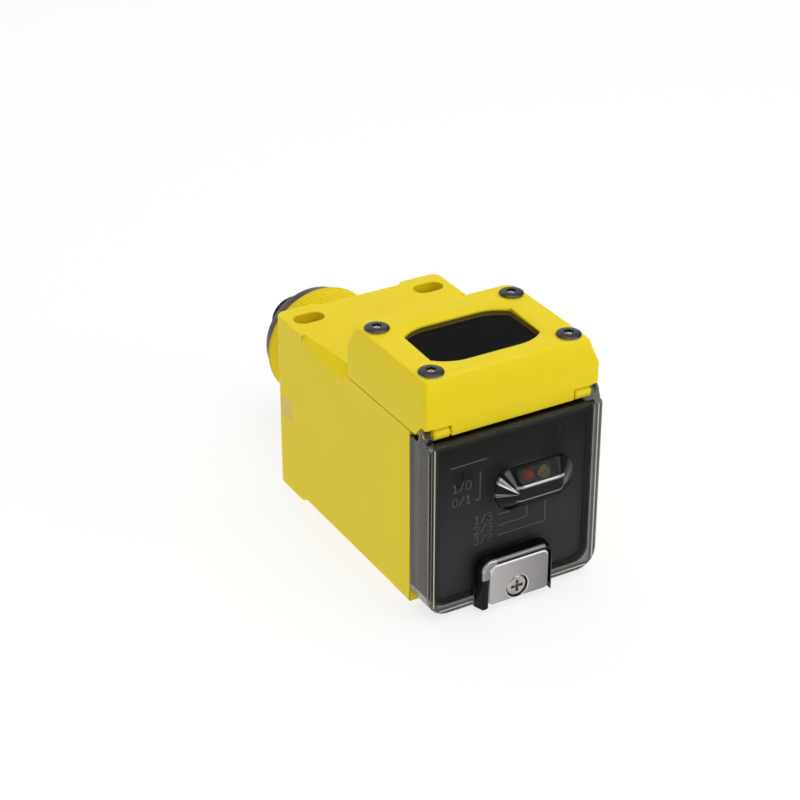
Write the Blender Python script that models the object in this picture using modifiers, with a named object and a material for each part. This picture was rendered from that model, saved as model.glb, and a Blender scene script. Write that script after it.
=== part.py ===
"""Compact photoelectric sensor with a hinged clear lid, a threaded hub and a round plug connector.

Lengths are in millimetres until a mesh is made. X runs across the sensor, Z up to the lens face.
Y is measured backwards from the front face of the lid; the frame empty then moves that datum so
that the origin is the middle of the bottom of the whole sensor.
"""
import math

import bmesh
import bpy
from mathutils import Matrix, Vector

MM = 0.001
GAP = 0.3                      # clearance between touching pieces
SKIN = 0.08                    # clearance of a seal or a bonded piece in its seat
SEAT = 0.1                     # clearance of a component standing on its board
SLACK = 0.2                    # clearance round a pin, a plug or a lug in its pocket
CUT = 1.0                      # how far a cutter runs past the face it opens

# --- body block -------------------------------------------------------------------------------
HALF_WIDTH = 22.25
BODY_FRONT, BODY_BOTTOM = 8.8, 0.8
SEAM_TOP = 45.0                # top of the body block under the head
DECK_FRONT, DECK_TOP, CHAMFER_FRONT, CHAMFER_REAR = 38.5, 45.5, 3.0, 1.4
EAR_FRONT, EAR_BACK, EAR_BOTTOM = 58.8, 72.3, 0.0
EAR_CORNER, EAR_STEP = 2.2, 1.4
RECESS_FLOOR, RECESS_HALF_WIDTH = 71.0, 12.0
SLOT_X, SLOT_Y, SLOT_HALF_LENGTH, SLOT_RADIUS = 16.3, 66.2, 3.85, 2.4
EDGE_ROUND = 0.8
SLOT_CLOSE = 0.999             # share of the slot's radius that its rounded ends are cut with

# --- hub with an M30 x 1.5 outside thread -------------------------------------------------------
HUB_Z, HUB_CREST, HUB_ROOT, HUB_BORE = 23.4, 15.0, 14.15, 9.3
HUB_START, THREAD_START, THREAD_PITCH, THREAD_TURNS, HUB_END = 68.0, 73.2, 1.5, 12, 91.9
CREST_FROM, CREST_TO, ROOT_FROM = 0.44, 0.56, 0.92     # where a ridge's corners fall in its pitch

# --- cavity, collar under the lid, posts --------------------------------------------------------
CAVITY_HALF, CAVITY_FLOOR, CAVITY_ROOF, CAVITY_BACK, CAVITY_CORNER = 18.6, 4.6, 41.9, 56.0, 2.0
COLLAR_HALF, COLLAR_BOTTOM, COLLAR_TOP, COLLAR_FRONT = 20.3, 2.45, 44.5, 6.7
COLLAR_CORNER, COLLAR_TOP_CORNER = 4.0, 1.0
POST_RADIUS, POST_BOTTOM, POST_TOP, POST_FLOOR, POST_HOLE = 1.75, 34.0, 42.3, 1.5, 1.25
OPTIC_Y, OPTIC_HALF_X, OPTIC_HALF_Y = 19.5, 14.8, 9.3
CLAMP_X, CLAMP_Z = -0.8, 4.55
BOSS_HALF, BOSS_TOP, BOSS_FRONT, BOSS_BACK = 3.2, 7.6, 2.6, 14.0
INSERT_SEAT, INSERT_OUTER, INSERT_BORE, INSERT_BACK = 1.92, 1.89, 1.5, 9.0

# --- head ---------------------------------------------------------------------------------------
HEAD_BOTTOM, HEAD_SLOPE, HEAD_TOP = 45.2, 53.0, 58.35
HEAD_FRONT, HEAD_BACK = 2.0, 38.1
HEAD_TOP_HALF, HEAD_TOP_FRONT, HEAD_TOP_BACK = 21.07, 4.4, 36.5
HEAD_FRONT_CORNER, HEAD_BACK_CORNER = 0.9, 2.6
SCREW_X, SCREW_DY = 17.5, 11.7
DISH_DEPTH, DISH_SPREAD, DISH_OVER = 0.7, 2.3, 0.4      # the dish cutter runs on by DISH_OVER
APERTURE_X, APERTURE_Y, APERTURE_END = 13.95, 9.0, 6.0
APERTURE_STRAIGHT = 6.8        # half length of the long straight sides
LEDGE_Z, LEDGE = 56.3, 0.5     # the step inside the frame that the window rests on
POCKET_ROOF = 55.3
SEAL_GROOVE, SEAL_X, SEAL_FRONT, SEAL_BACK = 45.7, 20.8, 9.1, 37.4

# --- optics ---------------------------------------------------------------------------------------
WINDOW_Y, WINDOW_THICK = 19.7, 1.0
LENS_X, LENS_RADIUS, LENS_LIP, LENS_SEAT, LENS_EDGE, LENS_CROWN = 7.0, 6.1, 0.8, 50.9, 1.2, 2.2
HOLDER_BOTTOM, HOLDER_TOP = 40.5, 54.7
DIODE_RADIUS, DIODE_TUBE, DIODE_STRAIGHT = 2.4, 2.7, 3.2
BOARD_THICK = 1.6

# --- hinge ----------------------------------------------------------------------------------------
HINGE_Y, HINGE_Z = 3.2, 46.2
KNUCKLE_IN, KNUCKLE_OUT, KNUCKLE_RADIUS = 16.0, 20.1, 1.35
NOTCH_TOP, NOTCH_BACK, NOTCH_SLOPE = 48.0, 6.3, 2.4
EAR_RADIUS, PIN_RADIUS, PIN_HOLE, PIN_INSET = 1.4, 0.6, 0.67, 0.15

# --- lid --------------------------------------------------------------------------------------------
LID_BOTTOM, LID_PLATE_TOP, LID_SKIRT_TOP, LID_BACK = 1.05, 44.6, 44.1, 8.5
LID_PLATE, LID_SKIRT, LID_CORNER, LID_TOP_CORNER = 1.6, 1.2, 5.0, 0.6
LID_EDGE = ((0.6, 0.0), (0.15, 0.2), (0.0, 0.6))      # depth and inset of the rounded front edge
EAR_INSIDE, EAR_FOOT = 0.35, ((-2.4, -3.4), (2.6, -3.4))
DOME_X, DOME_Z, DOME_HALF_X, DOME_HALF_Z, DOME_ROUND = 4.2, 29.05, 10.1, 5.25, 4.8
DOME_OUT, DOME_WALL, DOME_FACE_X, DOME_FACE_Z, DOME_FACE_ROUND = 3.6, 1.1, 5.6, 1.6, 1.2
DOME_FOOT, DOME_SHOULDER, SHOULDER_SPREAD = 0.5, 0.35, 0.5
HOOD_FORM = ((9.9, 13.8, 3.6, -0.8), (9.9, 13.8, 3.6, 0.3),  # half width, top, corner, reach
             (9.2, 13.25, 2.9, 2.45), (9.0, 13.05, 2.8, 2.68), (8.7, 12.7, 2.6, 2.8))
HOOD_OUT, HOOD_INSIDE, HOOD_INSIDE_TOP = 2.8, 8.1, 12.2
HOOD_SQUARE, HOOD_INSIDE_FOOT, HOOD_INSIDE_CORNER = 0.02, 0.5, 1.6

# --- clamp ------------------------------------------------------------------------------------------
PLATE_X, PLATE_HALF, PLATE_BOTTOM, PLATE_TOP, PLATE_FACE = -0.25, 7.8, 1.5, 11.9, 2.6
PLATE_FORM = ((0.12, 0.0), (2.3, 0.0), (2.6, 0.3))     # reach and inset of its sections
PLATE_FOOT_CORNER, PLATE_TOP_CORNER = 1.0, 1.4
CLAMP_RECESS, CLAMP_RECESS_DEPTH, CLAMP_SHANK = 2.85, 1.5, 1.2

# --- panel and its controls ---------------------------------------------------------------------------
PANEL_HALF, PANEL_BOTTOM, PANEL_TOP, PANEL_FRONT, PANEL_BACK = 20.3, 2.8, 43.3, 2.4, 6.4
PANEL_WALL, PANEL_CORNER, PANEL_TOP_CORNER, PANEL_HOLE = 0.8, 3.6, 0.8, 0.25
GAIN_X, GAIN_Z, MODE_X, MODE_Z, ROTOR_RADIUS = 11.0, 37.6, -12.3, 33.4, 2.3
LAMP_X, LAMP_Z, LAMP_PITCH, LAMP_RADIUS, LAMP_REACH = 4.5, 29.05, 4.1, 1.5, 1.5
PANEL_BOARD_FRONT, PANEL_BOARD_HALF = 10.4, 16.8

# --- connector ------------------------------------------------------------------------------------------
FLANGE_START, FLANGE_END, FLANGE_RADIUS = 93.4, 96.4, 13.2
BARREL_END, BARREL_RADIUS, SHELL_BORE, TAIL_START, TAIL_RADIUS = 107.5, 6.0, 4.6, 76.0, 9.0
INSERT_FACE, PIN_TIP, PIN_RING, CONTACT_RADIUS = 99.0, 104.6, 2.5, 0.5
WIRE_RADIUS, TERMINAL_X, TERMINAL_BACK, TERMINAL_Z = 0.6, -5.8, 51.5, 25.0

FRONT_REACH = DOME_OUT                                    # the dome stands furthest forward
MIDDLE_Y = (BARREL_END - FRONT_REACH) / 2                 # middle of the whole length

for old in list(bpy.data.objects):
    bpy.data.objects.remove(old, do_unlink=True)

parts = bpy.data.collections.new("photoelectric_sensor")
cutters = bpy.data.collections.new("cutters")
for group in (parts, cutters):
    bpy.context.scene.collection.children.link(group)


# --- helpers ----------------------------------------------------------------------------------------
def make_material(name, colour, roughness, metallic=0.0, alpha=1.0):
    """A Principled material with one colour and one gloss."""
    material = bpy.data.materials.new(name)
    material.use_nodes = True
    shader = material.node_tree.nodes["Principled BSDF"]
    shader.inputs["Base Color"].default_value = (*colour, 1.0)
    shader.inputs["Roughness"].default_value = roughness
    shader.inputs["Metallic"].default_value = metallic
    shader.inputs["Alpha"].default_value = alpha
    return material


def make_empty(name, at, parent=None):
    """An empty that carries a body; `at` is in the sensor's own millimetres."""
    empty = bpy.data.objects.new(name, None)
    parts.objects.link(empty)
    empty.parent = parent
    offset = parent["place"] if parent else (0.0, 0.0, 0.0)
    empty.location = [(a - b) * MM for a, b in zip(at, offset)]
    empty["place"] = at
    return empty


frame = make_empty("frame", (0.0, 0.0, 0.0))
frame.location.y = -MIDDLE_Y * MM

AIM = {"Z": Matrix.Identity(4),
       "-Z": Matrix.Rotation(math.pi, 4, "X"),
       "Y": Matrix.Rotation(-math.pi / 2, 4, "X"),
       "-Y": Matrix.Rotation(math.pi / 2, 4, "X"),
       "X": Matrix.Rotation(math.pi / 2, 4, "Y")}


def add_object(name, mesh, material=None, at=(0, 0, 0), aim="Z", parent=None):
    """Link a mesh made in millimetres along local Z as an object, aimed along an axis."""
    mesh.transform(Matrix.Scale(MM, 4) @ AIM[aim])
    thing = bpy.data.objects.new(name, mesh)
    if material:
        mesh.materials.append(material)
        parts.objects.link(thing)
    else:
        cutters.objects.link(thing)
        thing.hide_render = True
        thing.display_type = "WIRE"
    parent = parent or frame
    thing.parent = parent
    thing.location = [(a - b) * MM for a, b in zip(at, parent["place"])]
    return thing


def mesh_from(bm, name):
    """Turn a bmesh into a mesh with outward faces."""
    bmesh.ops.recalc_face_normals(bm, faces=bm.faces)
    mesh = bpy.data.meshes.new(name)
    bm.to_mesh(mesh)
    bm.free()
    return mesh


def box(name, x, y, z, material=None, parent=None, rounds=()):
    """A block between three pairs of limits; each round is (test of an edge's middle and
    direction, width, segments) and bevels the edges that pass."""
    centre = [(low + high) / 2 for low, high in (x, y, z)]
    bm = bmesh.new()
    bmesh.ops.create_cube(bm, size=1.0)
    for vert in bm.verts:
        vert.co = Vector([c * (high - low) for c, (low, high) in zip(vert.co, (x, y, z))])
    for test, width, segments in rounds:
        edges = [edge for edge in bm.edges
                 if test((edge.verts[0].co + edge.verts[1].co) / 2,
                         (edge.verts[0].co - edge.verts[1].co).normalized())]
        bmesh.ops.bevel(bm, geom=edges, offset=width, segments=segments,
                        profile=0.5, affect="EDGES", clamp_overlap=True)
    return add_object(name, mesh_from(bm, name), material, centre, parent=parent)


def along(axis, side=lambda middle: True):
    """Test for the edges that run along an axis and whose middle is on the wanted side."""
    return lambda middle, direction: abs(direction["xyz".index(axis)]) > 0.99 and side(middle)


def disc(name, radius, length, at, aim="Y", material=None, parent=None, sides=24, end=None):
    """A cylinder, or a cone when `end` is given, from `at` along an axis."""
    bm = bmesh.new()
    end_radius = radius if end is None else end
    bmesh.ops.create_cone(bm, cap_ends=True, segments=sides, radius1=radius,
                          radius2=end_radius, depth=length)
    bmesh.ops.translate(bm, verts=bm.verts, vec=(0, 0, length / 2))
    mesh = mesh_from(bm, name)
    mesh.shade_smooth()
    mesh.set_sharp_from_angle(angle=math.radians(35))
    return add_object(name, mesh, material, at, aim, parent)


def turned(name, profile, at, aim="Y", material=None, parent=None, steps=24):
    """A profile of (radius, height) points, listed from the top down, spun about its axis."""
    mesh = bpy.data.meshes.new(name)
    points = [(radius, 0.0, height) for radius, height in profile]
    mesh.from_pydata(points, [(i, i + 1) for i in range(len(points) - 1)], [])
    thing = add_object(name, mesh, material, at, "Z", parent)
    thing.rotation_euler = AIM[aim].to_euler()
    screw = thing.modifiers.new("turn", "SCREW")
    screw.axis = "Z"
    screw.steps = screw.render_steps = steps
    screw.use_merge_vertices = True
    screw.merge_threshold = 0.000001
    screw.use_smooth_shade = False
    return thing


def rounded(half_x, low_y, high_y, low_radius, high_radius, segments=4):
    """Outline of a rectangle with one radius on its low-Y corners and one on its high-Y ones."""
    points = []
    corners = ((1, low_y, low_radius, -90), (1, high_y, high_radius, 0),
               (-1, high_y, high_radius, 90), (-1, low_y, low_radius, 180))
    for side, edge, radius, start in corners:
        inward = 1 if edge == low_y else -1
        centre = (side * (half_x - radius), edge + inward * radius)
        for step in range(segments + 1):
            angle = math.radians(start + 90 * step / segments)
            points.append((centre[0] + radius * math.cos(angle),
                           centre[1] + radius * math.sin(angle)))
    return points


def aperture(spread=0.0, segments=7):
    """Outline of the window frame: long straight sides, swept arcs and short square ends.

    The arc leaves the long side tangentially and meets the end at its corner, so its radius
    follows from the rise and run between those two points.
    """
    run, rise = APERTURE_X - APERTURE_STRAIGHT, APERTURE_Y - APERTURE_END
    radius = (run ** 2 + rise ** 2) / (2 * rise)
    sweep = math.asin(run / radius)
    quarter = []
    for step in range(segments + 1):
        angle = sweep * step / segments
        quarter.append((APERTURE_STRAIGHT + (radius + spread) * math.sin(angle),
                        APERTURE_Y - radius + (radius + spread) * math.cos(angle)))
    quarter[-1] = (APERTURE_X + spread, quarter[-1][1])
    right = [(x, -y) for x, y in quarter] + [(x, y) for x, y in reversed(quarter)]
    return right + [(-x, -y) for x, y in right]


def loft(name, sections, at, aim="Z", material=None, parent=None):
    """A closed solid through flat outlines of equal point count, each at its own height."""
    bm = bmesh.new()
    rings = [[bm.verts.new((x, y, height)) for x, y in outline] for outline, height in sections]
    for lower, upper in zip(rings, rings[1:]):
        for i in range(len(lower)):
            j = (i + 1) % len(lower)
            bm.faces.new((lower[i], lower[j], upper[j], upper[i]))
    bm.faces.new(reversed(rings[0]))
    bm.faces.new(rings[-1])
    return add_object(name, mesh_from(bm, name), material, at, aim, parent)


def combine(target, tool, operation="DIFFERENCE"):
    """Cut a tool out of a piece, or join it on."""
    step = target.modifiers.new(tool.name, "BOOLEAN")
    step.operation = operation
    step.solver = "EXACT"
    step.object = tool


def cut(target, *tools):
    for tool in tools:
        combine(target, tool)


def join(target, *tools):
    for tool in tools:
        combine(target, tool, "UNION")


# --- materials --------------------------------------------------------------------------------------
YELLOW = make_material("yellow_polyester", (0.80, 0.66, 0.04), 0.42)
SMOKE = make_material("smoked_polycarbonate", (0.10, 0.085, 0.07), 0.06, alpha=0.45)
FILTER = make_material("filter_acrylic", (0.012, 0.010, 0.012), 0.05)
BLACK = make_material("black_nylon", (0.03, 0.03, 0.032), 0.45)
RUBBER = make_material("black_rubber", (0.02, 0.02, 0.02), 0.75)
PANEL = make_material("panel_grey", (0.06, 0.06, 0.062), 0.5)
STEEL = make_material("stainless_steel", (0.62, 0.61, 0.60), 0.25, 1.0)
DARK_STEEL = make_material("dark_steel", (0.22, 0.21, 0.21), 0.3, 1.0)
NICKEL = make_material("nickel_plate", (0.34, 0.32, 0.32), 0.3, 1.0)
BRASS = make_material("brass", (0.70, 0.52, 0.22), 0.3, 1.0)
GOLD = make_material("gold_plate", (0.85, 0.62, 0.22), 0.25, 1.0)
LENS = make_material("clear_acrylic", (0.75, 0.80, 0.85), 0.04, alpha=0.4)
BOARD = make_material("board_green", (0.03, 0.18, 0.08), 0.4)
RED = make_material("red_lamp", (0.55, 0.02, 0.02), 0.12)
AMBER = make_material("yellow_lamp", (0.55, 0.42, 0.08), 0.12)
GREEN = make_material("green_lamp", (0.05, 0.35, 0.08), 0.12)
BLUE = make_material("capacitor_sleeve", (0.05, 0.07, 0.22), 0.4)
WHITE = make_material("white_nylon", (0.75, 0.74, 0.70), 0.5)
WIRE_SLEEVES = [make_material("sleeve_" + name, colour, 0.5) for name, colour in
                (("brown", (0.20, 0.07, 0.03)), ("white", (0.8, 0.8, 0.78)),
                 ("blue", (0.03, 0.10, 0.45)), ("black", (0.02, 0.02, 0.02)))]


# --- housing ------------------------------------------------------------------------------------------
def build_housing():
    """Yellow body: block, rear deck, slotted ears, threaded hub, collar, posts and clamp boss."""
    housing = box("housing", (-HALF_WIDTH, HALF_WIDTH), (BODY_FRONT, EAR_FRONT + CUT),
                  (BODY_BOTTOM, SEAM_TOP), YELLOW,
                  rounds=[(along("y", lambda m: m.z < 0), EDGE_ROUND, 2)])
    deck = box("deck_tool", (-HALF_WIDTH, HALF_WIDTH), (DECK_FRONT, EAR_FRONT + CUT),
               (SEAM_TOP - CUT, DECK_TOP))
    # the deck's long edges are chamfered, widest at the head and narrowing to the ears
    trims = [loft("deck_trim_" + name,
                  [([(sign * (HALF_WIDTH + CUT), -CUT), (sign * (HALF_WIDTH + CUT), chamfer + CUT),
                     (sign * (HALF_WIDTH - chamfer - CUT), -CUT)], reach)
                   for reach, chamfer in ((0.0, CHAMFER_FRONT),
                                          (EAR_FRONT - DECK_FRONT, CHAMFER_REAR))],
                  (0, DECK_FRONT, DECK_TOP), "Y") for sign, name in ((-1, "left"), (1, "right"))]
    ears = box("ear_tool", (-HALF_WIDTH, HALF_WIDTH), (EAR_FRONT, EAR_BACK),
               (EAR_BOTTOM, DECK_TOP),
               rounds=[(along("z", lambda m: m.y > 0), EAR_CORNER, 3),
                       (along("x", lambda m: m.z < 0 and m.y < 0), EAR_STEP, 2)])
    recess = box("recess_tool", (-RECESS_HALF_WIDTH, RECESS_HALF_WIDTH),
                 (RECESS_FLOOR, EAR_BACK + CUT), (EAR_BOTTOM - CUT, DECK_TOP + CUT),
                 rounds=[(along("z", lambda m: m.y < 0), EAR_BACK - RECESS_FLOOR, 1)])
    join(housing, deck)
    cut(housing, *trims)
    join(housing, ears)
    cut(housing, recess)

    # thread ridges: a crest in the middle of each pitch and a root at its ends
    hub_length = HUB_END - HUB_START
    profile = [(0.0, hub_length), (HUB_ROOT, hub_length)]
    for turn in range(THREAD_TURNS, 0, -1):
        base = THREAD_START - HUB_START + (turn - 1) * THREAD_PITCH
        profile += [(HUB_ROOT, base + THREAD_PITCH * ROOT_FROM),
                    (HUB_CREST, base + THREAD_PITCH * CREST_TO),
                    (HUB_CREST, base + THREAD_PITCH * CREST_FROM)]
    profile += [(HUB_ROOT, THREAD_START - HUB_START), (HUB_ROOT, 0.0), (0.0, 0.0)]
    hub = turned("hub_tool", profile, (0, HUB_START, HUB_Z), "Y", steps=32)
    collar = loft("collar_tool",
                  [(rounded(COLLAR_HALF, COLLAR_BOTTOM, COLLAR_TOP, COLLAR_CORNER,
                            COLLAR_TOP_CORNER), height) for height in (0.0, BODY_FRONT - COLLAR_FRONT + CUT)],
                  (0, BODY_FRONT + CUT, 0), "-Y")
    join(housing, hub, collar)

    cavity = box("cavity_tool", (-CAVITY_HALF, CAVITY_HALF), (COLLAR_FRONT - CUT, CAVITY_BACK),
                 (CAVITY_FLOOR, CAVITY_ROOF), rounds=[(along("y"), CAVITY_CORNER, 2)])
    bore = disc("bore_tool", HUB_BORE, HUB_END - CAVITY_BACK + 2 * CUT,
                (0, CAVITY_BACK - CUT, HUB_Z), sides=32)
    hatch = box("hatch_tool", (-OPTIC_HALF_X, OPTIC_HALF_X),
                (OPTIC_Y - OPTIC_HALF_Y, OPTIC_Y + OPTIC_HALF_Y), (CAVITY_ROOF - CUT, SEAM_TOP + CUT))
    cut(housing, cavity, bore, hatch)

    for number, (x, y) in enumerate(screw_places()):
        # the post ends inside the roof, so that only its hole reaches the top face
        join(housing, disc(f"post_tool_{number}", POST_RADIUS, POST_TOP - POST_BOTTOM,
                           (x, y, POST_BOTTOM), "Z", sides=16))
        cut(housing, disc(f"post_hole_tool_{number}", POST_HOLE, SEAM_TOP - POST_BOTTOM,
                          (x, y, POST_BOTTOM + POST_FLOOR), "Z", sides=16))
    boss = box("boss_tool", (CLAMP_X - BOSS_HALF, CLAMP_X + BOSS_HALF), (BOSS_FRONT, BOSS_BACK),
               (COLLAR_BOTTOM, BOSS_TOP))
    boss_hole = disc("boss_hole_tool", INSERT_SEAT, INSERT_BACK - BOSS_FRONT + 2 * CUT,
                     (CLAMP_X, BOSS_FRONT - CUT, CLAMP_Z), sides=20)
    join(housing, boss)
    cut(housing, boss_hole)
    for side in (-1, 1):
        cut(housing, box(f"slot_tool_{side + 1}",
                         (side * SLOT_X - SLOT_HALF_LENGTH, side * SLOT_X + SLOT_HALF_LENGTH),
                         (SLOT_Y - SLOT_RADIUS, SLOT_Y + SLOT_RADIUS),
                         (EAR_BOTTOM - CUT, DECK_TOP + CUT),
                         rounds=[(along("z"), SLOT_RADIUS * SLOT_CLOSE, 5)]))


def screw_places():
    """X and Y of the four head screws, front pair first."""
    return [(sx * SCREW_X, OPTIC_Y + sy * SCREW_DY) for sy in (-1, 1) for sx in (-1, 1)]


# --- head and optics ----------------------------------------------------------------------------------
def build_head():
    """Yellow head: tapered block with a dished window frame, hinge notches and pin pockets."""
    middle = (HEAD_FRONT + HEAD_BACK) / 2

    def section(half, front, back, height, inset=0.0):
        outline = rounded(half - inset, front + inset - middle, back - inset - middle,
                          HEAD_FRONT_CORNER, HEAD_BACK_CORNER, 3)
        return outline, height

    round_top = 0.5
    head = loft("sensor_head",
                [section(HALF_WIDTH, HEAD_FRONT, HEAD_BACK, HEAD_BOTTOM),
                 section(HALF_WIDTH, HEAD_FRONT, HEAD_BACK, HEAD_SLOPE),
                 section(HEAD_TOP_HALF, HEAD_TOP_FRONT, HEAD_TOP_BACK, HEAD_TOP - round_top),
                 section(HEAD_TOP_HALF, HEAD_TOP_FRONT, HEAD_TOP_BACK, HEAD_TOP, round_top)],
                (0, middle, 0), material=YELLOW)
    dish = loft("dish_tool", [(aperture(0.0), HEAD_TOP - DISH_DEPTH),
                              (aperture(DISH_SPREAD * (1 + DISH_OVER)),
                               HEAD_TOP + DISH_DEPTH * DISH_OVER)],
                (0, WINDOW_Y, 0))
    opening = loft("aperture_tool", [(aperture(0.0), LEDGE_Z), (aperture(0.0), HEAD_TOP)],
                   (0, WINDOW_Y, 0))
    ledge = loft("ledge_tool", [(aperture(-LEDGE), height)
                                for height in (POCKET_ROOF - CUT, LEDGE_Z + LEDGE)],
                 (0, WINDOW_Y, 0))
    groove = box("seal_groove_tool", (-SEAL_X - GAP, SEAL_X + GAP),
                 (SEAL_FRONT - GAP, SEAL_BACK + GAP), (HEAD_BOTTOM - CUT, SEAL_GROOVE))
    pocket = box("pocket_tool", (-OPTIC_HALF_X - SLACK, OPTIC_HALF_X + SLACK),
                 (OPTIC_Y - OPTIC_HALF_Y, OPTIC_Y + OPTIC_HALF_Y), (HEAD_BOTTOM - CUT, POCKET_ROOF))
    cut(head, dish, opening, ledge, groove, pocket)
    for number, (x, y) in enumerate(screw_places()):
        cut(head, disc(f"screw_hole_tool_{number}", POST_HOLE, HEAD_TOP - HEAD_BOTTOM + 2 * CUT,
                       (x, y, HEAD_BOTTOM - CUT), "Z", sides=16))
    for side in (-1, 1):
        outer, inner = side * (HALF_WIDTH + CUT), side * KNUCKLE_OUT
        notch = box(f"notch_tool_{side + 1}", sorted((outer, inner)), (HEAD_FRONT - CUT, NOTCH_BACK),
                    (HEAD_BOTTOM - CUT, NOTCH_TOP),
                    rounds=[(along("x", lambda m: m.z > 0 and m.y > 0), NOTCH_SLOPE, 1)])
        seat = box(f"pin_seat_tool_{side + 1}",
                   sorted((side * (KNUCKLE_IN - GAP), side * (KNUCKLE_OUT + GAP))),
                   (HEAD_FRONT - CUT, HINGE_Y + KNUCKLE_RADIUS + SLACK),
                   (HEAD_BOTTOM - CUT, HINGE_Z + KNUCKLE_RADIUS + SLACK))
        cut(head, notch, seat)


def build_hinge_pins():
    """A stepped pin at each lower front corner of the head; its thin end carries the lid's ear."""
    knuckle = KNUCKLE_OUT - KNUCKLE_IN
    reach = HALF_WIDTH - PIN_INSET - KNUCKLE_IN
    for side, name in ((-1, "left"), (1, "right")):
        profile = [(0.0, reach), (PIN_RADIUS, reach), (PIN_RADIUS, knuckle),
                   (KNUCKLE_RADIUS, knuckle), (KNUCKLE_RADIUS, 0.0), (0.0, 0.0)]
        pin = turned("hinge_pin_" + name, profile, (side * KNUCKLE_IN, HINGE_Y, HINGE_Z), "X",
                     YELLOW, steps=16)
        if side < 0:
            pin.rotation_euler.y = -math.pi / 2


def build_optics():
    """Seals, filter window, lens carrier with its divider, lenses, diodes and their board."""
    seal = box("head_gasket", (-SEAL_X, SEAL_X), (SEAL_FRONT, SEAL_BACK),
               (SEAM_TOP + SKIN, SEAL_GROOVE - SKIN), RUBBER)
    cut(seal, box("seal_tool", (-OPTIC_HALF_X - SLACK, OPTIC_HALF_X + SLACK),
                  (OPTIC_Y - OPTIC_HALF_Y - SEAT, OPTIC_Y + OPTIC_HALF_Y + SEAT),
                  (SEAM_TOP - CUT, SEAL_GROOVE + CUT)))
    for number, (x, y) in enumerate(screw_places()):
        cut(seal, disc(f"seal_hole_tool_{number}", POST_RADIUS, 2 * CUT + SEAL_GROOVE - SEAM_TOP,
                       (x, y, SEAM_TOP - CUT), "Z", sides=16))

    loft("window", [(aperture(-SKIN), LEDGE_Z + SKIN), (aperture(-SKIN), LEDGE_Z + WINDOW_THICK)],
         (0, WINDOW_Y, 0), material=FILTER)
    ring_x, ring_y, ring_round = OPTIC_HALF_X - SLACK, OPTIC_HALF_Y - GAP, 1.5
    ring = box("window_gasket", (-ring_x, ring_x), (OPTIC_Y - ring_y, OPTIC_Y + ring_y),
               (HOLDER_TOP + SKIN, POCKET_ROOF - SKIN), RUBBER,
               rounds=[(along("z"), ring_round, 2)])
    cut(ring, loft("ring_tool", [(aperture(-LEDGE - GAP, 4), height)
                                 for height in (HOLDER_TOP - CUT, HEAD_TOP)], (0, WINDOW_Y, 0)))

    holder_x, holder_y, holder_round = OPTIC_HALF_X - 2 * SLACK, OPTIC_HALF_Y - 0.5, 1.2
    holder = box("lens_holder", (-holder_x, holder_x), (OPTIC_Y - holder_y, OPTIC_Y + holder_y),
                 (HOLDER_BOTTOM, HOLDER_TOP), BLACK, rounds=[(along("z"), holder_round, 2)])
    cone, board_x, board_y = 4.4, 13.8, 8.2
    for side, name, diode in ((-1, "emitter", "infrared_emitter"), (1, "receiver", "photodiode")):
        x = side * LENS_X
        cut(holder,
            disc(f"{name}_seat_tool", LENS_RADIUS + SLACK, HOLDER_TOP - LENS_SEAT + CUT,
                 (x, OPTIC_Y, LENS_SEAT), "Z", sides=24),
            disc(f"{name}_cone_tool", DIODE_TUBE, cone + SEAT, (x, OPTIC_Y, LENS_SEAT - cone),
                 "Z", sides=24, end=LENS_RADIUS - LENS_LIP),
            disc(f"{name}_tube_tool", DIODE_TUBE, LENS_SEAT - HOLDER_BOTTOM, (x, OPTIC_Y,
                 HOLDER_BOTTOM - CUT), "Z", sides=24))
        crown = [(LENS_RADIUS * math.sin(a), LENS_EDGE + LENS_CROWN * math.cos(a))
                 for a in (math.radians(step * 15) for step in range(7))]
        turned(f"{name}_lens", crown + [(LENS_RADIUS, 0.0), (0.0, 0.0)],
               (x, OPTIC_Y, LENS_SEAT + SEAT), "Z", LENS, steps=24)
        tip = [(DIODE_RADIUS * math.sin(a), DIODE_STRAIGHT + DIODE_RADIUS * math.cos(a))
               for a in (math.radians(step * 18) for step in range(6))]
        turned(diode, tip + [(DIODE_RADIUS, 0.0), (0.0, 0.0)],
               (x, OPTIC_Y, HOLDER_BOTTOM), "Z", SMOKE if side > 0 else LENS, steps=16)
    box("optics_board", (-board_x, board_x), (OPTIC_Y - board_y, OPTIC_Y + board_y),
        (HOLDER_BOTTOM - GAP - BOARD_THICK, HOLDER_BOTTOM - GAP), BOARD)


def build_head_screws():
    """Four pan-head screws with a six-lobe style recess that hold the head on the posts."""
    head_radius, head_height, edge, shank, length = 2.9, 0.85, 0.3, 1.0, 20.0
    lift, recess = 0.05, 1.05
    for name, (x, y) in zip(("front_left", "front_right", "rear_left", "rear_right"),
                            screw_places()):
        crown = [(head_radius * math.sin(a), edge + (head_height - edge) * math.cos(a))
                 for a in (math.radians(step * 22.5) for step in range(5))]
        screw = turned("head_screw_" + name,
                       crown + [(head_radius, lift), (shank, lift), (shank, -length),
                                (0.0, -length)],
                       (x, y, HEAD_TOP), "Z", DARK_STEEL, steps=20)
        cut(screw, disc(f"recess_tool_{name}", recess, 2 * CUT, (x, y, HEAD_TOP + SEAT), "Z",
                        sides=6))


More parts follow.
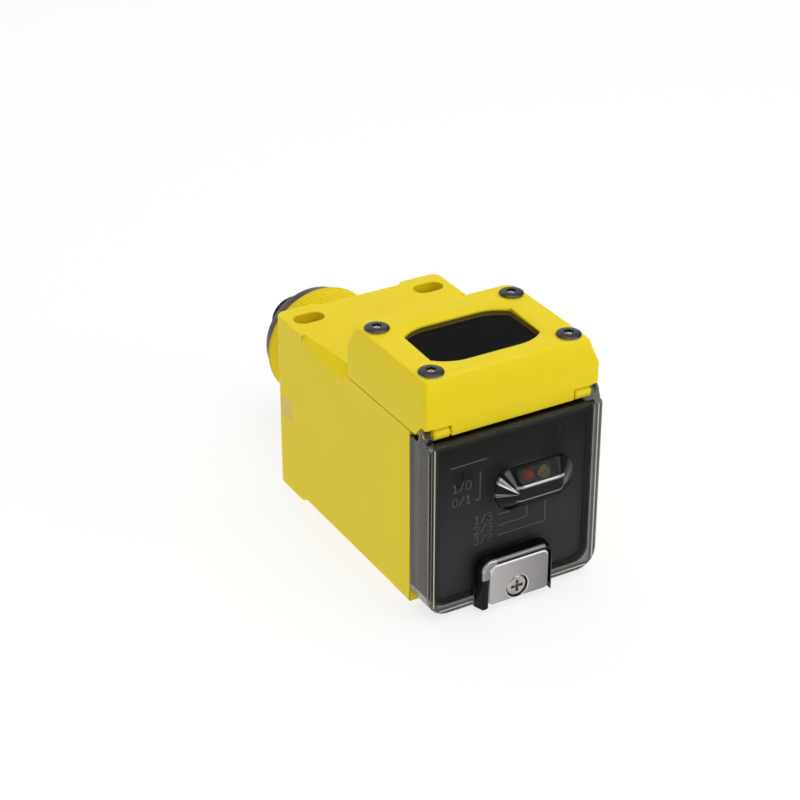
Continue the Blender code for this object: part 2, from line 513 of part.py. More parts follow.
# --- lid ---------------------------------------------------------------------------------------------
def build_lid(hinge):
    """Clear lid: front plate, side and bottom walls, hinge ears, lamp dome and clamp hood."""
    outer = [(rounded(HALF_WIDTH - inset, LID_BOTTOM + inset, LID_PLATE_TOP - inset,
                      LID_CORNER - inset, LID_TOP_CORNER, 5), -depth)
             for depth, inset in ((LID_BACK, 0.0), *LID_EDGE)]
    lid = loft("lid", outer, (0, 0, 0), "-Y", SMOKE, hinge)
    inside = loft("lid_inside_tool",
                  [(rounded(HALF_WIDTH - LID_SKIRT, LID_BOTTOM + LID_SKIRT,
                            LID_PLATE_TOP + LID_BACK, LID_CORNER - LID_SKIRT, LID_TOP_CORNER, 5),
                    height)
                   for height in (-LID_BACK - CUT, -LID_PLATE)], (0, 0, 0), "-Y", parent=hinge)
    top_trim = box("lid_top_tool", (-HALF_WIDTH - CUT, HALF_WIDTH + CUT), (LID_PLATE, LID_BACK + CUT),
                   (LID_SKIRT_TOP, LID_PLATE_TOP + CUT), parent=hinge)
    cut(lid, inside, top_trim)

    for side, name in ((-1, "left"), (1, "right")):
        inner = side * (HALF_WIDTH - LID_SKIRT - EAR_INSIDE)
        # the ear is a round head on the hinge axis, blended into the top of the side wall
        head_end = [(EAR_RADIUS * math.cos(a), EAR_RADIUS * math.sin(a))
                    for a in (math.radians(-10 + 200 * step / 8) for step in range(9))]
        outline = [(-z, y) for y, z in (*head_end, *EAR_FOOT)]
        ear = loft(f"lid_ear_tool_{name}",
                   [(outline, reach) for reach in (0.0, HALF_WIDTH - abs(inner))],
                   (inner if side > 0 else -HALF_WIDTH, HINGE_Y, HINGE_Z), "X", parent=hinge)
        hole = disc(f"lid_hole_tool_{name}", PIN_HOLE, 4 * CUT,
                    (side * HALF_WIDTH - 2 * CUT, HINGE_Y, HINGE_Z), "X", parent=hinge, sides=16)
        join(lid, ear)
        cut(lid, hole)

    dome_middle = (DOME_X, 0, DOME_Z)
    def dome_section(half_x, half_z, radius, height):
        return rounded(half_x, -half_z, half_z, radius, radius, 8), height

    inside_x, inside_z = DOME_HALF_X - DOME_WALL, DOME_HALF_Z - DOME_WALL
    ease = SHOULDER_SPREAD * 0.6
    dome = loft("dome_tool",
                [dome_section(DOME_HALF_X, DOME_HALF_Z, DOME_ROUND, -LID_PLATE / 2),
                 dome_section(DOME_HALF_X, DOME_HALF_Z, DOME_ROUND, DOME_FOOT),
                 dome_section(DOME_HALF_X - ease / 2, DOME_HALF_Z - ease / 2,
                              DOME_ROUND - ease / 2, DOME_FOOT + DOME_SHOULDER),
                 dome_section(DOME_FACE_X + SHOULDER_SPREAD, DOME_FACE_Z + SHOULDER_SPREAD,
                              DOME_FACE_ROUND + ease, DOME_OUT - DOME_SHOULDER),
                 dome_section(DOME_FACE_X, DOME_FACE_Z, DOME_FACE_ROUND, DOME_OUT - SKIN),
                 dome_section(DOME_FACE_X - ease, DOME_FACE_Z - ease, DOME_FACE_ROUND - ease,
                              DOME_OUT)],
                dome_middle, "-Y", parent=hinge)
    hollow = loft("dome_inside_tool",
                  [dome_section(inside_x, inside_z, DOME_ROUND - DOME_WALL, -LID_PLATE - CUT),
                   dome_section(inside_x, inside_z, DOME_ROUND - DOME_WALL, ease),
                   dome_section(DOME_FACE_X - ease, DOME_FACE_Z - ease / 2,
                                DOME_FACE_ROUND - ease, DOME_OUT - DOME_WALL)],
                  dome_middle, "-Y", parent=hinge)
    join(lid, dome)
    cut(lid, hollow)

    hood = loft("hood_tool",
                [(rounded(half, LID_BOTTOM, top, HOOD_SQUARE, corner, 8), reach)
                 for half, top, corner, reach in HOOD_FORM], (CLAMP_X, 0, 0), "-Y", parent=hinge)
    hood_inside = loft("hood_inside_tool",
                       [(rounded(HOOD_INSIDE, LID_BOTTOM - CUT, HOOD_INSIDE_TOP, HOOD_INSIDE_FOOT,
                                 HOOD_INSIDE_CORNER, 6), height)
                        for height in (0.0, HOOD_OUT + CUT)], (PLATE_X, 0, 0), "-Y", parent=hinge)
    screw_hole = disc("lid_screw_tool", CLAMP_SHANK + 0.35, LID_PLATE + 2 * CUT,
                      (CLAMP_X, -CUT, CLAMP_Z), "Y", parent=hinge, sides=16)
    join(lid, hood)
    cut(lid, hood_inside, screw_hole)


def build_clamp(hinge):
    """Stainless clamp plate under the hood and its captive cross-recess screw."""
    height = (PLATE_BOTTOM + PLATE_TOP) / 2
    half = (PLATE_TOP - PLATE_BOTTOM) / 2
    plate = loft("clamp_plate",
                 [(rounded(PLATE_HALF - inset, inset - half, half - inset, PLATE_FOOT_CORNER,
                           PLATE_TOP_CORNER), reach) for reach, inset in PLATE_FORM],
                 (PLATE_X, 0, height), "-Y", STEEL, hinge)
    cut(plate,
        disc("plate_hole_tool", CLAMP_SHANK + GAP, 6 * CUT, (CLAMP_X, -PLATE_FACE - CUT, CLAMP_Z),
             sides=16, parent=hinge),
        disc("plate_recess_tool", CLAMP_RECESS, CLAMP_RECESS_DEPTH + CUT,
             (CLAMP_X, -PLATE_FACE - CUT, CLAMP_Z), sides=28, parent=hinge))
    axis = make_empty("clamp_screw_axis", (CLAMP_X, 0.0, CLAMP_Z), hinge)
    head_radius, head_height, edge, length, cross_depth = 2.6, 1.3, 0.7, 7.6, 0.95
    crown = [(head_radius * math.sin(a), edge + (head_height - edge) * math.cos(a))
             for a in (math.radians(step * 22.5) for step in range(5))]
    screw = turned("clamp_screw",
                   crown + [(head_radius, 0.0), (CLAMP_SHANK, 0.0), (CLAMP_SHANK, -length),
                            (0.0, -length)],
                   (CLAMP_X, CLAMP_RECESS_DEPTH - SEAT - PLATE_FACE, CLAMP_Z), "-Y", STEEL, axis,
                   steps=24)
    for name, x, z in (("wide", 1.5, 0.28), ("tall", 0.28, 1.5)):
        cut(screw, box("cross_tool_" + name, (CLAMP_X - x, CLAMP_X + x),
                       (-PLATE_FACE - CUT, cross_depth - PLATE_FACE),
                       (CLAMP_Z - z, CLAMP_Z + z),
                       parent=axis))


# --- panel, controls and lamps ----------------------------------------------------------------------
def build_panel():
    """Dark tray behind the lid, its seal, the clamp insert, and the lamps that look out of it."""
    middle = (PANEL_BOTTOM + PANEL_TOP) / 2
    half = (PANEL_TOP - PANEL_BOTTOM) / 2
    panel = loft("control_panel",
                 [(rounded(PANEL_HALF, -half, half, PANEL_CORNER, PANEL_TOP_CORNER), height)
                  for height in (-PANEL_BACK, -PANEL_FRONT)], (0, 0, middle), "-Y", PANEL)
    tray = loft("tray_tool",
                [(rounded(PANEL_HALF - PANEL_WALL, PANEL_WALL - half, half - PANEL_WALL,
                          PANEL_CORNER - PANEL_WALL, PANEL_WALL), height)
                 for height in (-PANEL_BACK - CUT, -PANEL_FRONT - PANEL_WALL)],
                (0, 0, middle), "-Y")
    clamp_gap = box("clamp_gap_tool", (CLAMP_X - BOSS_HALF - GAP, CLAMP_X + BOSS_HALF + GAP),
                    (PANEL_FRONT - CUT, PANEL_BACK + CUT), (PANEL_BOTTOM - CUT, BOSS_TOP + GAP))
    cut(panel, tray, clamp_gap)
    for name, x, z, radius in ([("gain", GAIN_X, GAIN_Z, ROTOR_RADIUS),
                                ("mode", MODE_X, MODE_Z, ROTOR_RADIUS)]
                               + [(f"lamp_{n}", LAMP_X + n * LAMP_PITCH, LAMP_Z, LAMP_RADIUS)
                                  for n in (-1, 0, 1)]):
        cut(panel, disc(f"panel_{name}_tool", radius + PANEL_HOLE, 3 * CUT, (x, PANEL_FRONT - CUT, z),
                        sides=20))
    seal_width = 1.1
    seal = loft("lid_gasket", [(rounded(PANEL_HALF, -half, half, PANEL_CORNER, PANEL_TOP_CORNER),
                                height) for height in (SKIN - PANEL_FRONT, -LID_PLATE - SKIN)],
                (0, 0, middle), "-Y", RUBBER)
    seal_hole = loft("lid_gasket_tool",
                     [(rounded(PANEL_HALF - seal_width, seal_width - half, half - seal_width,
                               PANEL_CORNER - seal_width, PANEL_TOP_CORNER / 2), height)
                      for height in (-PANEL_FRONT - CUT, 0.0)],
                     (0, 0, middle), "-Y")
    # the seal rises over the clamp boss
    inner, outer, rise, foot = 4.6, 6.0, 1.2, 0.4
    arch = box("arch_tool", (CLAMP_X - outer, CLAMP_X + outer),
               (LID_PLATE + SKIN, PANEL_FRONT - SKIN),
               (PANEL_BOTTOM + foot, BOSS_TOP + GAP + seal_width + rise))
    arch_gap = box("arch_gap_tool", (CLAMP_X - inner, CLAMP_X + inner),
                   (LID_PLATE - CUT, PANEL_FRONT + CUT), (PANEL_BOTTOM - CUT, BOSS_TOP + GAP + rise))
    cut(seal, seal_hole)
    join(seal, arch)
    cut(seal, arch_gap)
    insert = disc("clamp_insert", INSERT_OUTER, INSERT_BACK - BOSS_FRONT - SEAT,
                  (CLAMP_X, BOSS_FRONT + SEAT, CLAMP_Z), material=BRASS, sides=20)
    cut(insert, disc("insert_tool", INSERT_BORE, 12.0, (CLAMP_X, BOSS_FRONT - CUT, CLAMP_Z),
                     sides=16))

    foot = PANEL_BOARD_FRONT - SEAT
    length = foot - PANEL_FRONT + LAMP_REACH
    for number, (name, material) in enumerate((("green", GREEN), ("red", RED), ("yellow", AMBER))):
        round_end = [(LAMP_RADIUS * math.sin(a), length - LAMP_RADIUS * (1 - math.cos(a)))
                     for a in (math.radians(step * 18) for step in range(6))]
        turned("lamp_" + name, round_end + [(LAMP_RADIUS, 0.0), (0.0, 0.0)],
               (LAMP_X + (number - 1) * LAMP_PITCH, foot, LAMP_Z), "-Y", material, steps=18)


def build_controls():
    """Slotted gain screw and pointer selector, each turning in its own small body."""
    rotor_length = PANEL_BACK - PANEL_FRONT
    ease, slot_half, slot_depth, slot_reach, short_end, body_half, body_tall = (
        0.25, 0.35, 1.3, 1.6, 0.3, 3.0, 3.2)
    for name, body, x, z, angle, material in (
            ("gain_adjuster", "gain_potentiometer", GAIN_X, GAIN_Z, math.radians(35), WHITE),
            ("mode_selector", "mode_switch_body", MODE_X, MODE_Z, 0.0, BLACK)):
        axis = make_empty(name + "_axis", (x, 0.0, z), frame)
        rotor = turned(name, [(0.0, rotor_length), (ROTOR_RADIUS - ease, rotor_length),
                              (ROTOR_RADIUS, rotor_length - ease), (ROTOR_RADIUS, 0.0),
                              (0.0, 0.0)],
                       (x, PANEL_BACK + SLACK, z), "-Y", material, axis, steps=20)
        slot = box(name + "_slot_tool", (x - slot_half, x + slot_half),
                   (0.0, PANEL_FRONT + slot_depth),
                   (z - (slot_reach if name == "gain_adjuster" else short_end), z + slot_reach),
                   parent=axis)
        slot.rotation_euler.y = angle
        cut(rotor, slot)
        box(body, (x - body_half, x + body_half),
            (PANEL_BACK + 2 * SLACK, PANEL_BOARD_FRONT - SEAT), (z - body_tall, z + body_tall),
            BLACK if material == WHITE else WHITE)


# --- boards and parts inside ------------------------------------------------------------------------
def build_boards():
    """Panel board, main board and the large components that they carry."""
    main_x, main_front = -12.0, 14.6
    box("panel_board", (-PANEL_BOARD_HALF, PANEL_BOARD_HALF),
        (PANEL_BOARD_FRONT, PANEL_BOARD_FRONT + BOARD_THICK), (8.0, 38.2), BOARD)
    box("main_board", (main_x - BOARD_THICK, main_x), (main_front, 52.0), (7.0, 36.5), BOARD)
    box("board_header", (main_x + SEAT, main_x + 5.0), (main_front + 0.3, main_front + 4.0),
        (12.0, 32.0), BLACK)
    box("output_relay", (main_x + SEAT, main_x + 10.0), (26.5, 43.5), (22.0, 34.0), BLUE,
        rounds=[(along("x"), 0.6, 1)])
    box("controller_chip", (main_x + SEAT, main_x + 2.2), (19.5, 26.0), (12.0, 20.0), BLACK)
    disc("filter_capacitor", 4.0, 12.5, (main_x + 4.3, 29.0, 12.5), material=BLUE, sides=20)
    box("terminal_block", (main_x + SEAT, main_x + 8.6), (45.0, TERMINAL_BACK),
        (TERMINAL_Z - 4.5, TERMINAL_Z + 4.5), WHITE)


# --- connector -------------------------------------------------------------------------------------
def build_connector():
    """Round plug inlet screwed into the hub: shell, seal, contact carrier, pins and leads."""
    pitch, ridges, root = 1.0, 9, BARREL_RADIUS - 0.55
    barrel_start = BARREL_END - 0.8 - ridges * pitch
    outside = [(SHELL_BORE, BARREL_END), (root, BARREL_END)]
    for ridge in range(ridges, 0, -1):
        base = barrel_start + (ridge - 1) * pitch
        outside += [(root, base + pitch * 0.9), (BARREL_RADIUS, base + pitch * 0.5)]
    outside += [(root, barrel_start), (root, FLANGE_END), (FLANGE_RADIUS - 0.5, FLANGE_END),
                (FLANGE_RADIUS, FLANGE_END - 0.5), (FLANGE_RADIUS, FLANGE_START + 0.4),
                (FLANGE_RADIUS - 0.4, FLANGE_START), (TAIL_RADIUS, FLANGE_START),
                (TAIL_RADIUS, TAIL_START), (SHELL_BORE, TAIL_START), (SHELL_BORE, BARREL_END)]
    turned("connector_shell", outside, (0, 0, HUB_Z), "Y", NICKEL, steps=32)

    inner, outer, half, ease = TAIL_RADIUS + 0.2, FLANGE_RADIUS - GAP, 0.6, 0.3
    ring = [(inner, half), (outer - ease, half), (outer, half - ease), (outer, ease - half),
            (outer - ease, -half), (inner, -half), (inner, half)]
    turned("connector_gasket", ring, (0, (HUB_END + FLANGE_START) / 2, HUB_Z), "Y", RUBBER,
           steps=28)

    insert_back = 86.0
    carrier = disc("connector_insert", SHELL_BORE - 0.1, INSERT_FACE - insert_back,
                   (0, insert_back, HUB_Z), material=BLACK, sides=24)
    for number in range(4):
        angle = math.radians(45 + 90 * number)
        x, z = PIN_RING * math.cos(angle), HUB_Z + PIN_RING * math.sin(angle)
        cut(carrier, disc(f"contact_tool_{number}", CONTACT_RADIUS + 0.08, 20.0,
                          (x, insert_back - CUT, z), sides=12))
        length = PIN_TIP - insert_back + 2.0
        turned(f"contact_pin_{number + 1}",
               [(0.0, length), (CONTACT_RADIUS * 0.5, length), (CONTACT_RADIUS, length - 0.5),
                (CONTACT_RADIUS, 0.0), (0.0, 0.0)],
               (x, insert_back - 2.0, z), "Y", GOLD, steps=10)
        build_lead(number, Vector((x, insert_back - 2.0 - GAP, z)))


def build_lead(number, begin):
    """Insulated wire from a contact's tail, down the hub's bore, to the terminal block."""
    end = begin + Vector((TERMINAL_X, TERMINAL_BACK + GAP - begin.y, TERMINAL_Z - HUB_Z))
    count = 12
    curve = bpy.data.curves.new(f"lead_wire_{number + 1}", "CURVE")
    curve.dimensions = "3D"
    curve.bevel_depth = WIRE_RADIUS * MM
    curve.bevel_resolution = 2
    curve.use_fill_caps = True
    spline = curve.splines.new("POLY")
    spline.points.add(count - 1)
    for index in range(count):
        share = index / (count - 1)
        ease = share * share * (3 - 2 * share)
        point = begin.lerp(end, ease)
        point.y = begin.y + (end.y - begin.y) * share
        spline.points[index].co = (*(point * MM), 1.0)
    curve.materials.append(WIRE_SLEEVES[number])
    wire = bpy.data.objects.new(f"lead_wire_{number + 1}", curve)
    parts.objects.link(wire)
    wire.parent = frame


build_housing()
build_head()
build_hinge_pins()
build_optics()
build_head_screws()
lid_hinge = make_empty("lid_hinge", (0.0, HINGE_Y, HINGE_Z), frame)
build_lid(lid_hinge)
build_clamp(lid_hinge)
build_panel()
build_controls()
build_boards()
build_connector()
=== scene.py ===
import math

import bmesh
import bpy
import numpy as np
from mathutils import Matrix, Vector


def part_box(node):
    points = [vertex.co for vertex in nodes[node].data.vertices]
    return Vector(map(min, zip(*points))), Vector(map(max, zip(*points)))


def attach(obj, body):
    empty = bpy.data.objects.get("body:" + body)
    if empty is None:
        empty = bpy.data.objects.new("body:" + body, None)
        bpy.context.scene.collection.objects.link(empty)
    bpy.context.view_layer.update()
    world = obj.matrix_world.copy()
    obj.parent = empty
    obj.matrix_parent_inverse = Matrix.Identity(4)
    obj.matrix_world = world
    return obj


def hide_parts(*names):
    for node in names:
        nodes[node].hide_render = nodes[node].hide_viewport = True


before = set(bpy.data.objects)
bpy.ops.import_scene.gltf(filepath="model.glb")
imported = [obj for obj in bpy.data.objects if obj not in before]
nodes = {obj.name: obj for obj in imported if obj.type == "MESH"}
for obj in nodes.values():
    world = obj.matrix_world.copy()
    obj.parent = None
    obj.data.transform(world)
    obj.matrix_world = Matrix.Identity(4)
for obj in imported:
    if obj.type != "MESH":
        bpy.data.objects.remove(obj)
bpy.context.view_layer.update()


# ---- Housing -----------------------------------------------------------------------------------
# The yellow body is one injection moulding of glass-filled polyester: the block, the rear deck,
# the two slotted mounting ears, the threaded hub and the collar that the lid closes over.
# Its outer edges leave the mould with a small round, rubbed a little paler than the faces.

class Mask:
    """A shader value; sums, differences and products of masks and numbers add Math nodes."""

    def __init__(self, finish, socket):
        self.finish, self.socket = finish, socket

    def sum_up(self, operation, first, second):
        return self.finish.node("ShaderNodeMath", {"operation": operation}, {0: first, 1: second})

    def __add__(self, other):
        return self.sum_up("ADD", self, other)

    def __sub__(self, other):
        return self.sum_up("SUBTRACT", self, other)

    def __rsub__(self, other):
        return self.sum_up("SUBTRACT", other, self)

    def __mul__(self, other):
        return self.sum_up("MULTIPLY", self, other)

    __radd__, __rmul__ = __add__, __mul__


class Finish:
    """A Principled material. Constants go straight on its sockets and masks are linked to them."""

    def __init__(self, name, **constants):
        self.material = bpy.data.materials.new(name)
        self.material.use_nodes = True
        self.tree = self.material.node_tree
        self.shader = self.tree.nodes["Principled BSDF"]
        self.place = self.node("ShaderNodeTexCoord", output="Object")
        self.give(**constants)

    def put(self, socket, value):
        if isinstance(value, Mask):
            self.tree.links.new(value.socket, socket)
        else:
            socket.default_value = value

    def give(self, **values):
        for name, value in values.items():
            self.put(self.shader.inputs[name.replace("_", " ")], value)

    def node(self, kind, settings=None, inputs=None, output=0):
        """Any node: its settings first (a ramp's stops among them), then its sockets."""
        made = self.tree.nodes.new(kind)
        for key, value in (settings or {}).items():
            if key == "stops":
                ramp = made.color_ramp.elements
                for _ in value[2:]:
                    ramp.new(0.5)
                for stop, (position, grey) in zip(ramp, value):
                    stop.position, stop.color = position, (grey, grey, grey, 1.0)
            else:
                setattr(made, key, value)
        for key, value in (inputs or {}).items():
            self.put(made.inputs[key], value)
        return Mask(self, made.outputs[output])

    def noise(self, per_metre, detail=2.0, roughness=0.5, stretch=(1.0, 1.0, 1.0)):
        """Noise with that many features to the metre, drawn out along an axis by `stretch`."""
        place = self.place
        if stretch != (1.0, 1.0, 1.0):
            place = self.node("ShaderNodeMapping", inputs={"Vector": place, "Scale": stretch},
                              output="Vector")
        return self.node("ShaderNodeTexNoise", inputs={
            "Vector": place, "Scale": per_metre, "Detail": detail, "Roughness": roughness})

    def ramp(self, value, *stops):
        return self.node("ShaderNodeValToRGB", {"stops": stops}, {"Fac": value})

    def blend(self, share, first, second):
        """One colour passing into another by a mask."""
        return self.node("ShaderNodeMix", {"data_type": "RGBA"}, {0: share, 6: first, 7: second},
                         output=2)

    def within(self, low, high, blur):
        """A mask of the box between two corners, with its sides blurred."""
        inside = 1.0
        for axis, start, end in zip("XYZ", low, high):
            middle, half = (start + end) / 2, (end - start) / 2
            along = self.node("ShaderNodeSeparateXYZ", inputs={"Vector": self.place},
                              output=axis)
            off = self.far(along, middle)
            inside = self.node("ShaderNodeMapRange", inputs={
                "Value": off, "From Min": half + blur, "From Max": half - blur}) * inside
        return inside

    def far(self, value, middle):
        """How far a value is from a middle, either way."""
        return self.node("ShaderNodeMath", {"operation": "ABSOLUTE"}, {0: value - middle})

    def bump(self, height, depth, strength=1.0):
        """Raise the surface by a mask times a depth in metres."""
        self.give(Normal=self.node("ShaderNodeBump", inputs={
            "Height": height, "Distance": depth, "Strength": strength}, output="Normal"))


def put_finish(piece, finish):
    piece.data.materials.clear()
    piece.data.materials.append(finish.material)


def settle(name, mesh, finish, body, slot, *stands_for):
    """Link a finished mesh as a piece that rides on a body, and hide the nodes it stands for."""
    piece = bpy.data.objects.new(name, mesh)
    bpy.context.scene.collection.objects.link(piece)
    put_finish(piece, finish)
    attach(piece, body)
    if stands_for:
        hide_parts(*stands_for)
    return piece


def softened(node, width, segments=2, hard=32.0, drop=None, smooth=34.0):
    """A merged copy of a node's mesh whose long hard edges are rounded off.

    An edge is rounded where its faces meet at more than `hard` degrees and both are broader than
    the round. The rounded strips carry the attribute "edge" at 1. Faces that pass `drop` go.
    """
    bm = bmesh.new()
    bm.from_mesh(nodes[node].data)
    bmesh.ops.remove_doubles(bm, verts=bm.verts, dist=2e-6)
    bmesh.ops.dissolve_limit(bm, angle_limit=math.radians(0.4), verts=bm.verts, edges=bm.edges)
    if drop:
        gone = [face for face in bm.faces if drop(face.calc_center_median())]
        bmesh.ops.delete(bm, geom=gone, context="FACES")
    breadth = {face: face.calc_area() / max(edge.calc_length() for edge in face.edges)
               for face in bm.faces}
    sharp = [edge for edge in bm.edges if len(edge.link_faces) == 2
             and edge.calc_face_angle(0.0) > math.radians(hard)
             and edge.calc_length() > 2.5 * width
             and min(breadth[face] for face in edge.link_faces) > 2.05 * width]
    # The rounded strips are marked so that finishes can pale them: as wear on the yellow mouldings,
    # and as painted highlights on the lid's ridges and the clamp plate's rims.
    worn = bm.faces.layers.float.new("edge")
    if sharp:
        made = bmesh.ops.bevel(bm, geom=sharp, offset=width, segments=segments, profile=0.5,
                               affect="EDGES", clamp_overlap=False)
        for face in made["faces"]:
            face[worn] = 1.0
    mesh = bpy.data.meshes.new(node + "_softened")
    bm.to_mesh(mesh)
    bm.free()
    mesh.shade_smooth()
    mesh.set_sharp_from_angle(angle=math.radians(smooth))
    return mesh


def even_normals(piece):
    """Let broad faces set the normals at their rims, so that they stay flat up to the rounds."""
    weighted = piece.modifiers.new("even", "WEIGHTED_NORMAL")
    weighted.keep_sharp = True
    return piece


yellow = Finish("yellow_polyester", IOR=1.5, Specular_IOR_Level=0.16, Subsurface_Weight=0.25,
                Subsurface_Radius=(1.0, 0.6, 0.1), Subsurface_Scale=0.0016)
edge_share = yellow.node("ShaderNodeAttribute", {"attribute_name": "edge"}, output="Fac")
clouds = yellow.noise(45.0, 3.0)
grain = yellow.noise(2600.0, 3.0, 0.6)
flow = yellow.noise(110.0, 2.0, 0.5, (1.0, 0.25, 1.0))
rubbed = edge_share * yellow.ramp(yellow.noise(420.0, 3.0, 0.6), (0.42, 0.0), (0.72, 1.0))
moulded = yellow.blend(yellow.ramp(clouds, (0.3, 0.0), (0.7, 1.0)),
                       (0.835, 0.645, 0.008, 1), (0.860, 0.680, 0.010, 1))
moulded = yellow.blend(flow * 0.25, moulded, (0.870, 0.700, 0.015, 1))
moulded = yellow.blend(rubbed * 0.45, moulded, (0.900, 0.760, 0.080, 1))

# A small blank label of clear film is stuck on the left ear's side.
label_low, label_high = (-0.0230, 0.01245, 0.0197), (-0.0220, 0.01855, 0.0247)
label = yellow.within(label_low, label_high, 0.0001)
yellow.give(Base_Color=yellow.blend(label * 0.45, moulded, (0.62, 0.48, 0.24, 1)),
            Roughness=0.42 + grain * 0.12 - edge_share * 0.08)
yellow.bump(grain + flow * 0.3, 0.000012, 0.6)

hub_low, hub_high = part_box("connector_gasket")
hub_z = (hub_low.z + hub_high.z) / 2
hub_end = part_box("housing")[1].y     # the hub's rear rim is the furthest back of the body
hub_foot = 0.02035                  # where the ears' rear faces end and the hub stands free
HUB_CREST, HUB_ROOT, HUB_BORE, HUB_PITCH = 0.0150, 0.01412, 0.0093, 0.0015


def on_hub(middle):
    """True for the outside of the free part of the hub, which the cut thread stands for."""
    radius = math.hypot(middle.x, middle.z - hub_z)
    return HUB_BORE + 0.001 < radius < HUB_CREST + 0.0002 and middle.y > hub_foot + 0.0012


even_normals(settle("housing_moulding", softened("housing", 0.00028, drop=on_hub), yellow, "body",
                    "yellow_body", "housing"))


# ---- Hub thread --------------------------------------------------------------------------------
# A fine-pitch thread is moulded round the hub for the nut that clamps the sensor to a
# bracket. It is one ridge that winds twelve times round and fades out at both ends.

def sheet_mesh(name, points, wrap_rows=False, wrap_columns=True):
    """A grid of points (rows, columns, 3) as a mesh of quads; poles and seams are merged."""
    rows, columns = points.shape[:2]
    index = np.arange(rows * columns).reshape(rows, columns)
    if wrap_rows:
        index = np.vstack([index, index[:1]])
    if wrap_columns:
        index = np.hstack([index, index[:, :1]])
    quads = np.stack([index[:-1, :-1], index[:-1, 1:], index[1:, 1:], index[1:, :-1]], axis=-1)
    mesh = bpy.data.meshes.new(name)
    mesh.from_pydata(points.reshape(-1, 3).tolist(), [], quads.reshape(-1, 4).tolist())
    bm = bmesh.new()
    bm.from_mesh(mesh)
    bmesh.ops.remove_doubles(bm, verts=bm.verts, dist=1e-7)
    bmesh.ops.dissolve_degenerate(bm, edges=bm.edges, dist=1e-8)
    bmesh.ops.recalc_face_normals(bm, faces=bm.faces)
    bm.to_mesh(mesh)
    bm.free()
    mesh.shade_smooth()
    return mesh


def fine_path(profile, gap):
    """A polyline of (radius, height) with extra points, so that no step is longer than `gap`."""
    profile = np.asarray(profile, float)
    steps = np.hypot(*np.diff(profile, axis=0).T)
    counts = np.maximum(1, np.ceil(steps / gap)).astype(int)
    shares = np.concatenate([i + np.arange(n) / n for i, n in enumerate(counts)]
                            + [[len(profile) - 1.0]])
    knots = np.arange(len(profile))
    return np.stack([np.interp(shares, knots, column) for column in profile.T], axis=1)


AXES = {"X": ((0, 1, 0), (0, 0, 1), (1, 0, 0)), "Y": ((0, 0, 1), (1, 0, 0), (0, 1, 0)),
        "Z": ((1, 0, 0), (0, 1, 0), (0, 0, 1))}


def round_points(radius, height, centre, axis, columns):
    """Points at `radius` and `height` (rows, or rows by columns) round an axis from `centre`.

    Point = centre + radius (cos t across + sin t up) + height along, for t once round.
    """
    across, up, along = (np.array(v, float) for v in AXES[axis])
    turn = np.linspace(0, 2 * np.pi, columns, endpoint=False)[None, :, None]
    radius = np.broadcast_to(radius.reshape(len(radius), -1), (len(radius), columns))[..., None]
    height = np.broadcast_to(height.reshape(len(height), -1), (len(height), columns))[..., None]
    return np.array(centre) + radius * (np.cos(turn) * across + np.sin(turn) * up) \
        + height * along


def threaded(profile, first, last, pitch, depth, columns, gap):
    """Radius and height of a turned profile with a thread cut between two heights.

    The ridge is a rounded triangle wave in (height / pitch - turn), and it fades over half a
    pitch at both ends.
    """
    line = fine_path(profile, gap)
    turn = np.arange(columns)[None, :] / columns
    radius, height = line[:, :1], line[:, 1:]
    wave = 1 - np.abs(2 * np.mod(height / pitch - turn, 1) - 1)
    wave = np.clip(1.35 * wave - 0.12, 0, 1)
    fade = np.clip((height - first) / (0.6 * pitch), 0, 1) * np.clip((last - height)
                                                                     / (0.6 * pitch), 0, 1)
    outer = radius >= radius.max() - 1e-6
    return radius - outer * depth * (1 - wave * fade), np.broadcast_to(height, wave.shape)


HUB_COLUMNS = 160
hub_profile = [(HUB_BORE + 0.0005, hub_end), (HUB_CREST - 0.0012, hub_end),
               (HUB_CREST, hub_end - 0.0006), (HUB_CREST, hub_foot)]
hub_radius, hub_height = threaded(hub_profile, hub_foot + 0.0014, hub_end - 0.0008, HUB_PITCH,
                                  HUB_CREST - HUB_ROOT, HUB_COLUMNS, 0.00012)
settle("hub_thread", sheet_mesh("hub_thread", round_points(
    hub_radius, hub_height, (0, 0, hub_z), "Y", HUB_COLUMNS)), yellow, "body", "yellow_body",
    "housing")


# ---- Sensor head -------------------------------------------------------------------------------
# The lens head is a second moulding in the same polyester. Its top tapers in on all four sides
# and dishes down to the window; it is screwed to the body with a seal between them.

even_normals(settle("head_moulding", softened("sensor_head", 0.00032, 3), yellow, "body",
                    "yellow_body", "sensor_head"))

# The two hinge knuckles are moulded pins with a shoulder and a thin end for the lid's ear.
for side in ("left", "right"):
    node = "hinge_pin_" + side
    low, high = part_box(node)
    radius = (high.z - low.z) / 2
    inner, outer = (low.x, high.x) if side == "right" else (high.x, low.x)
    reach, sign = abs(outer - inner), (1 if side == "right" else -1)
    shoulder, thin, ease = 0.0041, 0.0006, 0.00025
    profile = fine_path([(0, 0), (radius - ease, 0), (radius, ease), (radius, shoulder - ease),
                         (radius - ease, shoulder), (thin, shoulder), (thin, reach - 0.0001),
                         (thin * 0.7, reach), (0, reach)], 0.0003)
    centre = (inner, (low.y + high.y) / 2, (low.z + high.z) / 2)
    settle("hinge_knuckle_" + side, sheet_mesh(node, round_points(
        profile[:, 0], sign * profile[:, 1], centre, "X", 40)), yellow, "body", "yellow_body",
        node)
